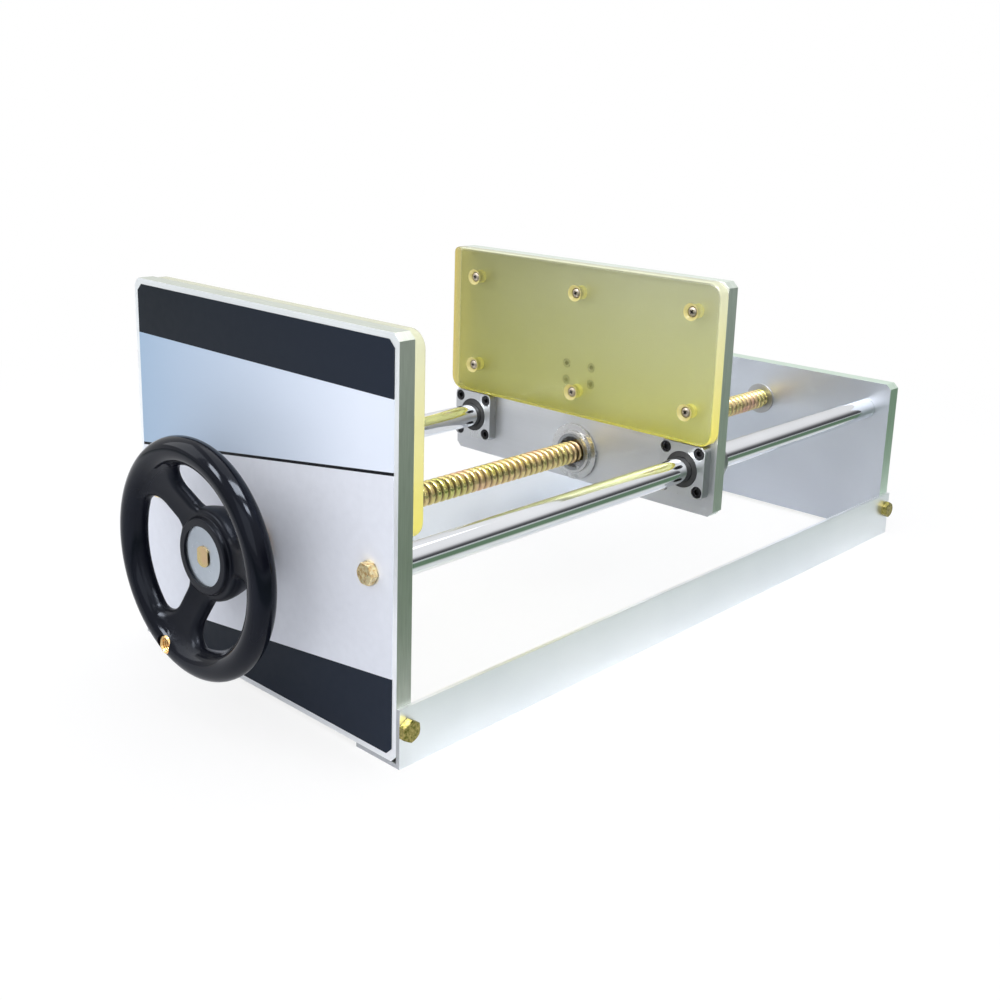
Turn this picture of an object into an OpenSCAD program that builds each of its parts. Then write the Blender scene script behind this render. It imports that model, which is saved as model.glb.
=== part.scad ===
// Carving vise: two end plates on angle rails, a jaw on guide rods, and a lead screw with a handwheel.
// Millimetres. X across the jaws, Y from the handwheel to the back plate, Z up from the bench.
// The origin is on the bench, under the middle of the whole vise.

/* [Frame plates] */
// Width of the front and back plates
plate_w = 275; // [265:1:320]
// Height of the front plate's top edge, and of the jaw's, above the bench
front_h = 270; // [250:1:300]
// Thickness of the front plate
front_t = 12; // [12:0.5:20]
// Height of the back plate's top edge above the bench
back_h = 147.5; // [140:0.5:180]
// Thickness of the back plate
back_t = 15; // [12:0.5:20]
// Length over both end plates
frame_len = 639; // [560:1:760]
// Size of the cut across each plate corner
corner_cut = 4.5; // [2:0.5:6]
// Thickness of the printed panel on the front plate
label_t = 0.4; // [0.2:0.1:1]
// Bare margin round the printed panel
label_margin = 4; // [2:0.5:8]

/* [Rails] */
// Width of each leg of the angle rails
rail_leg = 40; // [36:1:60]
// Thickness of the angle rails
rail_t = 3; // [2.5:0.5:5]
// Height of the rail bolts above the bench
rail_bolt_z = 25.5; // [20:0.5:28]

/* [Guide rods] */
// Diameter of the guide rods
rod_d = 20; // [16:0.5:22]
// Distance from the plates' side edges to the rods' centres
rod_inset = 24; // [23.5:0.5:37]
// Height of the rods' centres above the bench
rod_z = 121; // [118:0.5:121]
// Depth of the recess that seats each rod end in its plate
rod_seat = 3; // [1:0.5:5]

/* [Lead screw] */
// Outside diameter of the lead screw's thread
screw_d = 19; // [17:0.5:20]
// Height of the lead screw's centre above the bench
screw_z = 110; // [106:0.5:112]
// Distance from one thread to the next
thread_pitch = 6.7; // [5:0.1:8]
// Depth of the thread
thread_depth = 1.8; // [1:0.1:2.2]
// Diameter of the plain ends of the screw
journal_d = 14; // [11:0.5:14]

/* [Handwheel] */
// Outside diameter of the handwheel
wheel_d = 160; // [140:1:180]
// Thickness of the rim
rim_d = 18; // [16:0.5:20]
// Distance from the front plate to the middle of the rim
rim_reach = 48.5; // [46:0.5:56]
// Distance from the front plate to the front of the hub
hub_reach = 43; // [40:0.5:46]
// Diameter of the hub's front ring
hub_d = 51; // [48:1:56]
// Diameter of the steel disc in the hub
disc_d = 40; // [36:1:44]
// Width of each spoke
spoke_w = 20; // [15:1:24]
// Radius of the corners of the windows between the spokes
window_corner = 12; // [8:0.5:13]
// Angle of the first spoke
spoke_turn = 11; // [0:1:119]
// Angle of the handle's threaded insert
insert_turn = 248; // [246:1:256]
// Outside diameter of the threaded insert
insert_d = 13.5; // [12:0.5:14]
// Diameter of the insert's hole, for a 10 mm thread
insert_hole_d = 8.5; // [6:0.5:9]
// Length of the threaded insert
insert_len = 12; // [8:1:12]

/* [Moving jaw] */
// How far the jaw plate reaches past the end plates on each side
jaw_overhang = 2.5; // [0.5:0.5:12]
// Thickness of the jaw plate
jaw_t = 12; // [10:0.5:16]
// Height of the jaw plate's lower edge above the bench
jaw_bottom = 85.5; // [80:0.5:86]
// Gap between the two pads, as the vise stands
opening = 298; // [60:1:300]

/* [Pads] */
// Thickness of the pads
pad_t = 10; // [8:0.5:14]
// Height of the pads' lower edge above the bench
pad_bottom = 142.5; // [142.5:0.5:150]
// Radius of the pads' corners
pad_corner = 12; // [8:0.5:16]
// Radius of the jaw pad's upper left corner
pad_corner_left = 5; // [4.5:0.5:16]
// Width of the bevel round each pad's face
pad_edge = 3; // [1:0.5:4]
// Distance from the plates' side edges to the outer pad screws
pad_screw_side = 23.5; // [22:0.5:47]
// Distance from the pad's top and bottom to the outer screws
pad_screw_inset = 24.5; // [20:0.5:30]
// How much lower the middle screw of the bottom row sits
pad_screw_drop = 4.5; // [0:0.5:6]

/* [Linear bearings] */
// Width of the square bearing flange
flange_w = 42; // [40:0.5:43]
// Thickness of the bearing flange
flange_t = 8; // [7:0.5:10]
// Distance between the flange screws
flange_screw_gap = 31; // [29:0.5:32]
// Radius of the flange's corners
flange_corner = 4; // [2:0.5:5]
// Outside diameter of the bearing barrel
barrel_d = 32; // [31:0.5:34]
// Length of the bearing, flange and all
bearing_len = 42; // [36:1:44]
// Thickness of each rubber end seal
seal_t = 3; // [2:0.5:4]

/* [Quick release] */
// Length of the nut block behind the jaw
block_len = 34; // [30:1:40]
// Half width of the nut block
block_half = 26; // [25:0.5:28]
// Width of the half nut
half_nut_w = 26; // [24:0.5:28]
// Height of the lever's pivot above the bench
pivot_z = 177; // [174:0.5:182]
// Length of the lever from its pivot
lever_len = 62; // [50:1:80]
// Width of the lever
lever_w = 20; // [18:0.5:24]

/* [Fasteners] */
// Diameter of the hex bolts
bolt_d = 8; // [6:0.5:8]
// Width across the flats of the hex bolts
bolt_af = 13; // [12:0.5:14]
// Height of the hex bolt heads
bolt_head = 5.3; // [4:0.1:6]
// Diameter of the pad screws
pad_screw_d = 4; // [3:0.5:4.5]
// Diameter of the pad screws' heads
pad_head_d = 8; // [7:0.5:9]
// Height of the pad screws' heads
pad_head_h = 2.6; // [2:0.1:3]
// Diameter of the bearing flange screws
cap_d = 5; // [4:0.5:5]
// Diameter of the bearing flange screws' heads
cap_head_d = 8.5; // [7.5:0.5:9]
// Height of the bearing flange screws' heads
cap_head_h = 5; // [4:0.1:5.4]

/* [Clearances] */
// Play of pressed, glued and screwed pieces in their seats
fit_gap = 0.05; // [0.02:0.01:0.1]
// Play of running shafts and bearings
run_gap = 0.05; // [0.02:0.01:0.1]
// Play of sliding pieces
slide_gap = 0.1; // [0.05:0.01:0.2]
// Gap between faces that only meet as stops
stop_gap = 0.3; // [0.2:0.05:0.5]

/* [Hidden] */
$fn = 64;
// Overrun of a cutting tool past the face that it cuts
over = 1;

// Places along the vise
wheel_reach = rim_reach + rim_d / 2;
y_front = (wheel_reach - frame_len - bolt_head) / 2;
y_inner = y_front + front_t;
y_end = y_front + frame_len;
y_back = y_end - back_t;
y_jaw = y_inner + 2 * pad_t + opening;
y_jaw_back = y_jaw + jaw_t;

// Rods and bolts
rod_x = plate_w / 2 - rod_inset;
rod_r = rod_d / 2;
bolt_r = bolt_d / 2;
rod_tap = 22;
rod_bolt_len = 26;
rail_bolt_len = 24;
bolt_clear = 0.25;

// Lead screw and its bearings
screw_r = screw_d / 2;
journal_r = journal_d / 2;
bush_wall = 4;
bush_r = journal_r + run_gap + bush_wall;
front_flange_r = bush_r + 5;
front_flange_t = 3;
rear_flange_r = bush_r + 4;
rear_flange_t = 1.5;
washer_t = 2;
collar_r = journal_r + 8;
collar_len = 11;
y_thread = y_inner + stop_gap + collar_len + stop_gap;
y_thread_end = y_back - rear_flange_t - stop_gap;
thread_crest = 0.42 * thread_pitch;
thread_flank = 0.12 * thread_pitch;
thread_count = floor((y_thread_end - y_thread) / thread_pitch);

// Handwheel, measured forwards from the front plate
rim_r = rim_d / 2;
rim_ring_r = wheel_d / 2 - rim_r;
hub_rear = front_flange_t + washer_t + stop_gap;
ring_proud = 1.5;
hub_face = hub_reach - ring_proud;
disc_r = disc_d / 2;
disc_t = 5;
sleeve_r = disc_r - 4;
hub_r = hub_d / 2;
hub_flare = 4.5;
flare_drop = 15;
flare_len = 4;
flare_rear = hub_face - flare_drop;
web_front = hub_face - 3;
web_t = 11;
hub_bevel = 1.5;
window_r = hub_r + 3.5;
moulding_rear = hub_rear + 2.7;
flat_len = 7;
flat_half = 0.82 * journal_r;
shaft_proud = 1;
insert_face = rim_reach + rim_r - 1.7;
grub_r = 3;
grub_reach = hub_rear + 10;

// Pads and plates
jaw_top = front_h;
jaw_w = plate_w + 2 * jaw_overhang;
pad_screw_x = plate_w / 2 - pad_screw_side;
pad_head_sink = 4.6;
pad_sink_r = pad_head_d / 2 + 2;
pad_screw_len = 13.4;
pad_screws = [
    for (x = [-pad_screw_x, 0, pad_screw_x]) [x, front_h - pad_screw_inset],
    for (x = [-pad_screw_x, 0, pad_screw_x]) [x, pad_bottom + pad_screw_inset - (x == 0 ? pad_screw_drop : 0)]
];

// Linear bearings
barrel_r = barrel_d / 2;
barrel_wall = 1.35;
shell_r = barrel_r - barrel_wall;
seal_proud = 0.4;
cap_sink = cap_head_h + 0.4;
cap_sink_r = cap_head_d / 2 + 0.5;
cap_screw_len = 12;
flange_corners = [for (sx = [-1, 1], sy = [-1, 1]) [sx * flange_screw_gap / 2, sy * flange_screw_gap / 2]];

// Ring round the screw on the jaw's front
guide_bore_r = screw_r + 3.5;
guide_r = guide_bore_r + 5;
guide_flange_r = screw_z - jaw_bottom - 0.5;
guide_flange_t = 2.5;
guide_lip = 2.5;
ring_r = guide_bore_r + 2.5;
ring_t = 1.2;
ring_gap = 4;

// Quick release behind the jaw
block_bottom = jaw_bottom + 0.5;
block_wall = 4;
slot_len = block_len - 2 * block_wall;
half_nut_base = screw_z + 1.2;
half_nut_h = 25;
nut_spring_h = 14;
block_top = half_nut_base + half_nut_h + nut_spring_h;
block_cap_t = 6;
block_mid_y = y_jaw_back + block_len / 2;
block_screw_r = 3;
block_screw_x = block_half - 6;
block_screw_low = 16;
block_screw_high = 10;
block_screw_zs = [screw_z - block_screw_low, block_top - block_screw_high];
lift_r = 3;
lift_nut_af = 10;
lift_nut_h = 5;
prong_arm = 10;
prong_r = 3;
pivot_y = block_mid_y + prong_arm;
pivot_r = 3;
pivot_barrel_r = pivot_r + 2;
lever_t = 5;
ear_gap = 0.4;
ear_in = lever_w / 2 + ear_gap;
ear_t = 5.4;
ear_half_h = 11;
bracket_t = 5;
bracket_half_h = 15;
bracket_screw_dz = 7;
bracket_screw_r = 2;
grip_len = 46;
grip_wall = 3;

aluminium = "#c9ccd3";
chrome = "#dfe3e8";
yellow_zinc = "#cdb25a";
steel = "#9fa6ad";
black = "#1d1f22";
urethane = "#cfcb6a";

// Draws a flat outline, given in X and Z, as a slab that starts at y and is t thick
module slab(y, t) {
    translate([0, y + t, 0]) rotate([90, 0, 0]) linear_extrude(height = t) children();
}

// Puts a shape that is drawn along +Z so that it runs backwards, along +Y, from the given point
module backwards(x, y, z) {
    translate([x, y, z]) rotate([-90, 0, 0]) children();
}

// The same, running forwards along -Y
module forwards(x, y, z) {
    translate([x, y, z]) rotate([90, 0, 0]) children();
}

// Plain round bar or drill running backwards from y
module bar(x, y, z, r, len) {
    backwards(x, y, z) cylinder(r = r, h = len);
}

// Ring with a square section, running up from its base
module ring(outer, inner, h) {
    difference() {
        cylinder(r = outer, h = h);
        translate([0, 0, -over]) cylinder(r = inner, h = h + 2 * over);
    }
}

// Rectangle with its four corners cut off, from the lower edge to the upper edge
module cut_corner_outline(w, bottom, top, cut) {
    h = w / 2;
    polygon([
        [-h + cut, bottom], [h - cut, bottom], [h, bottom + cut], [h, top - cut],
        [h - cut, top], [-h + cut, top], [-h, top - cut], [-h, bottom + cut]
    ]);
}

// Square with round corners
module round_square(w, r) {
    square([w - 2 * r, w], center = true);
    square([w, w - 2 * r], center = true);
    for (sx = [-1, 1], sy = [-1, 1]) translate([sx, sy] * (w / 2 - r)) circle(r = r);
}

// Hex bolt: the head sits below the base and the shank runs up
module hex_bolt(len) {
    translate([0, 0, -bolt_head]) cylinder(d = bolt_af / cos(30), h = bolt_head, $fn = 6);
    cylinder(r = bolt_r, h = len);
}

// Screw with a low round head and a cross recess, with the shank running up
module cross_screw(len) {
    slot_w = pad_head_d / 8;
    slot_l = pad_head_d / 2;
    slot_deep = pad_head_h / 2;
    difference() {
        translate([0, 0, -pad_head_h]) cylinder(d = pad_head_d, h = pad_head_h);
        for (turn = [0, 90]) rotate(turn)
            translate([-slot_l / 2, -slot_w / 2, -pad_head_h - over])
                cube([slot_l, slot_w, slot_deep + over]);
    }
    cylinder(d = pad_screw_d, h = len);
}

// Socket head screw, with the shank running up
module socket_screw(d, head_d, head_h, len) {
    difference() {
        translate([0, 0, -head_h]) cylinder(d = head_d, h = head_h);
        translate([0, 0, -head_h - over]) cylinder(d = head_d / 2 / cos(30), h = head_h / 2 + over, $fn = 6);
    }
    cylinder(d = d, h = len);
}

// Pad with bevelled edges, lying with its back at z = 0 and its face up, outline in X and height
module pad_body(w, left_corner) {
    difference() {
        hull() {
            for (sx = [-1, 1], upper = [0, 1]) {
                r = sx < 0 && upper == 1 ? left_corner : pad_corner;
                translate([sx * (w / 2 - r), upper == 1 ? front_h - r : pad_bottom + r, 0]) {
                    cylinder(r = r, h = pad_t - pad_edge, $fn = 32);
                    cylinder(r = r - pad_edge, h = pad_t, $fn = 32);
                }
            }
        }
        for (p = pad_screws) translate([p[0], p[1], -over]) {
            cylinder(d = pad_screw_d + 2 * bolt_clear, h = pad_t + 2 * over);
            translate([0, 0, over + pad_t - pad_head_sink])
                cylinder(r = pad_sink_r, h = pad_head_sink + over);
        }
    }
}

// Front plate: carries the screw's bush, the rods, the pad and the front ends of the rails
module front_plate() {
    color(aluminium) difference() {
        slab(y_front, front_t) cut_corner_outline(plate_w, rail_t, front_h, corner_cut);
        bar(0, y_front - over, screw_z, bush_r + fit_gap, front_t + 2 * over);
        for (side = [-1, 1]) {
            bar(side * rod_x, y_front - over, rod_z, bolt_r + bolt_clear, front_t + 2 * over);
            bar(side * rod_x, y_inner - rod_seat, rod_z, rod_r + fit_gap, rod_seat + over);
        }
        for (p = pad_screws) bar(p[0], y_inner - pad_tap_depth(), p[1], pad_screw_d / 2 + fit_gap, front_t);
        rail_bolt_holes(y_front + front_t / 2);
    }
}

// Depth of the tapped holes for the pad screws
function pad_tap_depth() = pad_screw_len - (pad_t - pad_head_sink) + over;

// Tapped holes in a plate's two side edges
module rail_bolt_holes(y) {
    depth = rail_bolt_len - rail_t + over;
    for (side = [-1, 1]) translate([side * plate_w / 2, y, rail_bolt_z])
        rotate([0, -90 * side, 0]) translate([0, 0, -over]) cylinder(r = bolt_r + fit_gap, h = depth + over);
}

// Thin printed panel on the front of the front plate
module front_label() {
    w = plate_w - 2 * label_margin;
    color("#c4c7d0") difference() {
        slab(y_front - label_t, label_t)
            cut_corner_outline(w, rail_t + label_margin, front_h - label_margin, corner_cut);
        bar(0, y_front - label_t - over, screw_z, front_flange_r + 0.5, label_t + 2 * over);
        for (side = [-1, 1]) bar(side * rod_x, y_front - label_t - over, rod_z, bolt_af * 0.62,
            label_t + 2 * over);
    }
}

// Urethane pad on the back of the front plate
module fixed_pad() {
    color(urethane) translate([0, y_inner, 0]) mirror([0, 1, 0]) rotate([90, 0, 0])
        pad_body(plate_w, pad_corner);
}

module fixed_pad_screws() {
    color(steel) for (p = pad_screws) forwards(p[0], y_inner + pad_t - pad_head_sink, p[1])
        cross_screw(pad_screw_len);
}

// Back plate: carries the far ends of the rods and the screw
module back_plate() {
    color(aluminium) difference() {
        slab(y_back, back_t) cut_corner_outline(plate_w, rail_t, back_h, corner_cut);
        bar(0, y_back - over, screw_z, bush_r + fit_gap, back_t + 2 * over);
        for (side = [-1, 1]) {
            bar(side * rod_x, y_back - over, rod_z, bolt_r + bolt_clear, back_t + 2 * over);
            bar(side * rod_x, y_back - over, rod_z, rod_r + fit_gap, rod_seat + over);
        }
        rail_bolt_holes(y_back + back_t / 2);
    }
}

// Angle rail on the right: one leg outside the plates, the other under them
module rail() {
    outer = plate_w / 2 + rail_t;
    difference() {
        slab(y_front, frame_len) polygon([
            [outer - rail_leg, 0], [outer, 0], [outer, rail_leg],
            [outer - rail_t, rail_leg], [outer - rail_t, rail_t], [outer - rail_leg, rail_t]
        ]);
        for (y = [y_front + front_t / 2, y_back + back_t / 2])
            translate([outer - rail_t - over, y, rail_bolt_z])
            rotate([0, 90, 0]) cylinder(r = bolt_r + bolt_clear, h = rail_t + 2 * over);
    }
}

module right_rail() {
    color(aluminium) rail();
}

module left_rail() {
    color(aluminium) mirror([1, 0, 0]) rail();
}

// Bolts through the rails into the plates' edges
module rail_bolts() {
    color(yellow_zinc) for (side = [-1, 1], y = [y_front + front_t / 2, y_back + back_t / 2])
        translate([side * (plate_w / 2 + rail_t), y, rail_bolt_z]) rotate([0, -90 * side, 0])
            hex_bolt(rail_bolt_len);
}

// Ground and chromed guide rod, tapped at both ends
module rod(x) {
    len = y_back - y_inner + 2 * rod_seat;
    color(chrome) difference() {
        bar(x, y_inner - rod_seat, rod_z, rod_r, len);
        bar(x, y_inner - rod_seat - over, rod_z, bolt_r + fit_gap, rod_tap + over);
        bar(x, y_back + rod_seat - rod_tap, rod_z, bolt_r + fit_gap, rod_tap + over);
    }
}

module left_rod() {
    rod(-rod_x);
}

module right_rod() {
    rod(rod_x);
}

// Bolts through the plates into the rods' ends
module rod_bolts() {
    color(yellow_zinc) for (x = [-rod_x, rod_x]) {
        backwards(x, y_front, rod_z) hex_bolt(rod_bolt_len);
        forwards(x, y_end, rod_z) hex_bolt(rod_bolt_len);
    }
}

// Flanged bush that the screw's front end turns in
module front_bush() {
    color("#b98d4b") difference() {
        union() {
            bar(0, y_front - front_flange_t, screw_z, front_flange_r, front_flange_t);
            bar(0, y_front - front_flange_t, screw_z, bush_r, front_flange_t + front_t);
        }
        bar(0, y_front - front_flange_t - over, screw_z, journal_r + run_gap,
            front_flange_t + front_t + 2 * over);
    }
}

// Flanged bush that the screw's far end turns in
module rear_bush() {
    color("#6d6a66") difference() {
        union() {
            bar(0, y_back - rear_flange_t, screw_z, rear_flange_r, rear_flange_t);
            bar(0, y_back - rear_flange_t, screw_z, bush_r, rear_flange_t + back_t);
        }
        bar(0, y_back - rear_flange_t - over, screw_z, journal_r + run_gap,
            rear_flange_t + back_t + 2 * over);
    }
}

// Washer that takes the pull of the screw, between the hub and the front bush
module thrust_washer() {
    color(steel) backwards(0, y_front - front_flange_t - washer_t, screw_z)
        ring(front_flange_r - 1, journal_r + bolt_clear, washer_t);
}

// Lead screw: plain front end through the hub and bush, thread, and plain far end
module lead_screw() {
    tip = y_front - hub_face - shaft_proud;
    root = screw_r - thread_depth;
    start = y_thread - tip;
    thread = [
        for (i = [0 : thread_count - 1])
            let (y = start + i * thread_pitch)
            each [[screw_r, y], [screw_r, y + thread_crest],
                  [root, y + thread_crest + thread_flank], [root, y + thread_pitch - thread_flank]]
    ];
    stop = y_thread_end - tip;
    far = y_end - over - tip;
    outline = concat([[0, 0], [journal_r, 0], [journal_r, start]], thread,
        [[root, stop], [journal_r, stop], [journal_r, far], [0, far]]);
    color(yellow_zinc) difference() {
        backwards(0, tip, screw_z) rotate_extrude() polygon(outline);
        for (side = [0, 1]) translate([0, tip - over, screw_z]) mirror([side, 0, 0])
            translate([flat_half, 0, -journal_r]) cube([journal_r, flat_len + over, journal_d]);
    }
}

// Outline of the spokes' dished web, as radius and distance from the front plate
module web_outline() {
    inner = hub_r - hub_bevel;
    outer = rim_ring_r - rim_r / 2;
    polygon([
        [inner, web_front - web_t], [inner, web_front],
        [outer, rim_reach + rim_r * 0.45], [outer, rim_reach - rim_r * 0.55]
    ]);
}

// Points of an arc round a centre, without its first point
function arc(centre, r, from, to, steps) =
    [for (i = [1 : steps]) let (a = from + (to - from) * i / steps) centre + r * [cos(a), sin(a)]];

// Outline of the window between two spokes, with its middle on +X
module window_outline() {
    rim_side = rim_ring_r - rim_r;
    corner = min(window_corner, (rim_side - window_r) / 2 - 0.5);
    side = spoke_w / 2 + corner;
    far_r = rim_side - corner;
    near_r = window_r + corner;
    far_turn = 60 - asin(side / far_r);
    near_turn = 60 - asin(side / near_r);
    far = far_r * [cos(far_turn), sin(far_turn)];
    near = near_r * [cos(near_turn), sin(near_turn)];
    upper = concat(
        arc([0, 0], rim_side, 0, far_turn, 8), arc(far, corner, far_turn, 150, 10),
        arc(near, corner, 150, 180 + near_turn, 6), arc([0, 0], window_r, near_turn, 0, 6)
    );
    last = len(upper) - 1;
    polygon(concat(upper, [for (i = [last - 1 : -1 : 0]) [upper[i][0], -upper[i][1]]], [[rim_side, 0]]));
}

// Moulded handwheel: rim, dished web with three windows, and hub
module handwheel() {
    flare_r = hub_r + hub_flare;
    insert_at = rim_ring_r * [cos(insert_turn), sin(insert_turn)];
    color(black) forwards(0, y_front, screw_z) difference() {
        union() {
            rotate_extrude() translate([rim_ring_r, rim_reach]) circle(r = rim_r);
            rotate_extrude() polygon([
                [sleeve_r + fit_gap, moulding_rear], [hub_r - hub_bevel, moulding_rear],
                [hub_r, moulding_rear + 4],
                [flare_r, flare_rear], [flare_r, flare_rear + flare_len], [hub_r, web_front],
                [hub_r, hub_reach - 1],
                [hub_r - 1, hub_reach], [disc_r + fit_gap, hub_reach],
                [disc_r + fit_gap, hub_face - disc_t - fit_gap],
                [sleeve_r + fit_gap, hub_face - disc_t - fit_gap]
            ]);
            difference() {
                rotate_extrude() web_outline();
                for (i = [0 : 2]) rotate(spoke_turn + 60 + 120 * i) linear_extrude(height = wheel_reach)
                    window_outline();
            }
        }
        translate([insert_at[0], insert_at[1], insert_face - insert_len])
            cylinder(d = insert_d + 2 * fit_gap, h = insert_len + rim_r);
        hub_grub_hole();
    }
}

// Radial hole for the hub's set screw, between two spokes
module hub_grub_hole() {
    translate([0, 0, grub_reach]) rotate([0, 90, spoke_turn + 60])
        cylinder(r = grub_r + fit_gap, h = wheel_d / 2 - rim_d);
}

// Steel hub moulded into the wheel, with the disc that shows in front
module wheel_hub() {
    bore = journal_r + fit_gap;
    color("#b9c2c8") forwards(0, y_front, screw_z) difference() {
        rotate_extrude() polygon([
            [bore, hub_rear], [sleeve_r, hub_rear], [sleeve_r, hub_face - disc_t],
            [disc_r, hub_face - disc_t], [disc_r, hub_face], [bore, hub_face]
        ]);
        hub_grub_hole();
    }
}

// Set screw that locks the hub on the screw's front end
module hub_set_screw() {
    color(steel) forwards(0, y_front, screw_z) translate([0, 0, grub_reach]) rotate([0, 90, spoke_turn + 60])
        translate([0, 0, journal_r + stop_gap]) cylinder(r = grub_r, h = sleeve_r - journal_r);
}

// Brass insert in the rim, tapped for a crank handle
module handle_insert() {
    insert_at = rim_ring_r * [cos(insert_turn), sin(insert_turn)];
    color("#b8803a") forwards(0, y_front, screw_z)
        translate([insert_at[0], insert_at[1], insert_face - insert_len])
        ring(insert_d / 2, insert_hole_d / 2, insert_len);
}

// Collar that keeps the screw from sliding forwards
module shaft_collar() {
    color(steel) difference() {
        backwards(0, y_inner + stop_gap, screw_z) ring(collar_r, journal_r + fit_gap, collar_len);
        collar_grub_place() cylinder(r = grub_r + fit_gap, h = collar_r);
    }
}

// Place of the collar's set screw, pointing down
module collar_grub_place() {
    translate([0, y_inner + stop_gap + collar_len / 2, screw_z]) rotate([180, 0, 0]) children();
}

module collar_set_screw() {
    color(black) collar_grub_place() translate([0, 0, journal_r + stop_gap])
        cylinder(r = grub_r, h = collar_r - journal_r - 1);
}

// Sliding jaw plate
module jaw_plate() {
    color("#bfc2c8") difference() {
        slab(y_jaw, jaw_t) cut_corner_outline(jaw_w, jaw_bottom, jaw_top, corner_cut);
        bar(0, y_jaw - over, screw_z, guide_r + fit_gap, jaw_t + 2 * over);
        for (side = [-1, 1]) {
            bar(side * rod_x, y_jaw - over, rod_z, barrel_r + fit_gap, jaw_t + 2 * over);
            for (c = flange_corners)
                bar(side * rod_x + c[0], y_jaw - over, rod_z + c[1], cap_d / 2 + fit_gap, jaw_t + 2 * over);
        }
        for (p = pad_screws) bar(p[0], y_jaw - over, p[1], pad_screw_d / 2 + fit_gap, pad_tap_depth() + over);
        for (x = [-block_screw_x, block_screw_x], z = block_screw_zs)
            bar(x, y_jaw_back - block_tap(), z, block_screw_r + fit_gap, block_tap() + over);
        bracket_screw_places() bracket_screw(fit_gap, over);
    }
}

// Depth of the tapped holes for the nut block's screws
function block_tap() = jaw_t - 3;

// Urethane pad on the front of the jaw
module jaw_pad() {
    color(urethane) translate([0, y_jaw, 0]) rotate([90, 0, 0]) pad_body(jaw_w, pad_corner_left);
}

module jaw_pad_screws() {
    color(steel) for (p = pad_screws) backwards(p[0], y_jaw - pad_t + pad_head_sink, p[1])
        cross_screw(pad_screw_len);
}

// Square-flanged linear bearing: steel shell with a round barrel through the jaw
module bearing(x) {
    color("#8d9196") backwards(x, y_jaw, rod_z) difference() {
        union() {
            translate([0, 0, -flange_t]) linear_extrude(height = flange_t)
                round_square(flange_w, flange_corner);
            translate([0, 0, -flange_t]) cylinder(r = barrel_r, h = bearing_len);
        }
        translate([0, 0, -flange_t - over]) cylinder(r = shell_r, h = bearing_len + 2 * over);
        for (c = flange_corners) translate([c[0], c[1], -flange_t - over]) {
            cylinder(r = cap_d / 2 + bolt_clear, h = flange_t + 2 * over);
            cylinder(r = cap_sink_r, h = cap_sink + over);
        }
    }
}

module left_bearing() {
    bearing(-rod_x);
}

module right_bearing() {
    bearing(rod_x);
}

// Ball cage inside a bearing shell, as one sleeve that runs on the rod
module cage(x) {
    color("#d8d5c6") backwards(x, y_jaw - flange_t + seal_t, rod_z)
        ring(shell_r - fit_gap, rod_r + run_gap, bearing_len - 2 * seal_t);
}

module left_cage() {
    cage(-rod_x);
}

module right_cage() {
    cage(rod_x);
}

// Rubber rings that close both ends of a bearing shell
module seals(x) {
    color(black) for (y = [y_jaw - flange_t - seal_proud, y_jaw - flange_t + bearing_len - seal_t])
        backwards(x, y, rod_z) ring(shell_r - fit_gap, rod_r + run_gap, seal_t + seal_proud);
}

module left_seals() {
    seals(-rod_x);
}

module right_seals() {
    seals(rod_x);
}

// Socket head screws that hold both bearing flanges on the jaw
module flange_screws() {
    color(black) for (side = [-1, 1], c = flange_corners)
        backwards(side * rod_x + c[0], y_jaw - flange_t + cap_sink, rod_z + c[1])
            socket_screw(cap_d, cap_head_d, cap_head_h, cap_screw_len);
}

// Flanged ring pressed into the jaw round the screw, with a recess for the snap ring
module screw_guide() {
    front = guide_flange_t + guide_lip;
    color("#c2c4c6") backwards(0, y_jaw, screw_z) difference() {
        union() {
            translate([0, 0, -guide_flange_t]) cylinder(r = guide_flange_r, h = guide_flange_t);
            translate([0, 0, -front]) cylinder(r = guide_r, h = front + jaw_t);
        }
        translate([0, 0, -front - over]) cylinder(r = guide_bore_r, h = front + jaw_t + 2 * over);
        translate([0, 0, -front - over]) cylinder(r = ring_r + fit_gap, h = ring_t + over);
    }
}

// Split spring ring in the guide's recess
module snap_ring() {
    color("#7d7f80") backwards(0, y_jaw - guide_flange_t - guide_lip, screw_z) difference() {
        ring(ring_r, guide_bore_r + 0.2, ring_t);
        rotate(60) translate([0, -ring_gap / 2, -over]) cube([2 * ring_r, ring_gap, ring_t + 2 * over]);
    }
}

// Block behind the jaw that guides the half nut over the screw
module nut_block() {
    color(steel) difference() {
        translate([-block_half, y_jaw_back, block_bottom])
            cube([2 * block_half, block_len, block_top - block_bottom]);
        bar(0, y_jaw_back - over, screw_z, screw_r + slide_gap, block_len + 2 * over);
        translate([-half_nut_w / 2 - slide_gap, y_jaw_back + block_wall, screw_z])
            cube([half_nut_w + 2 * slide_gap, slot_len, block_top - screw_z + over]);
        for (x = [-block_screw_x, block_screw_x]) {
            for (z = block_screw_zs) {
                bar(x, y_jaw_back - over, z, block_screw_r + bolt_clear, block_len + 2 * over);
                bar(x, y_jaw_back + block_len - 2 * block_screw_r, z, 2 * block_screw_r,
                    2 * block_screw_r + over);
            }
            translate([x, block_mid_y, block_top - cap_screw_tap()])
                cylinder(d = pad_screw_d + 2 * fit_gap, h = cap_screw_tap() + over);
        }
    }
}

// Depth of the tapped holes for the block cap's screws
function cap_screw_tap() = 0.5 * pad_screw_len;

// Screws through the block into the back of the jaw
module block_screws() {
    head_h = 1.8 * block_screw_r;
    reach = block_len - 2 * block_screw_r + block_tap() - over;
    color(black) for (x = [-block_screw_x, block_screw_x], z = block_screw_zs)
        forwards(x, y_jaw_back + block_len - 2 * block_screw_r, z)
            socket_screw(2 * block_screw_r, 3.4 * block_screw_r, head_h, reach);
}

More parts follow.
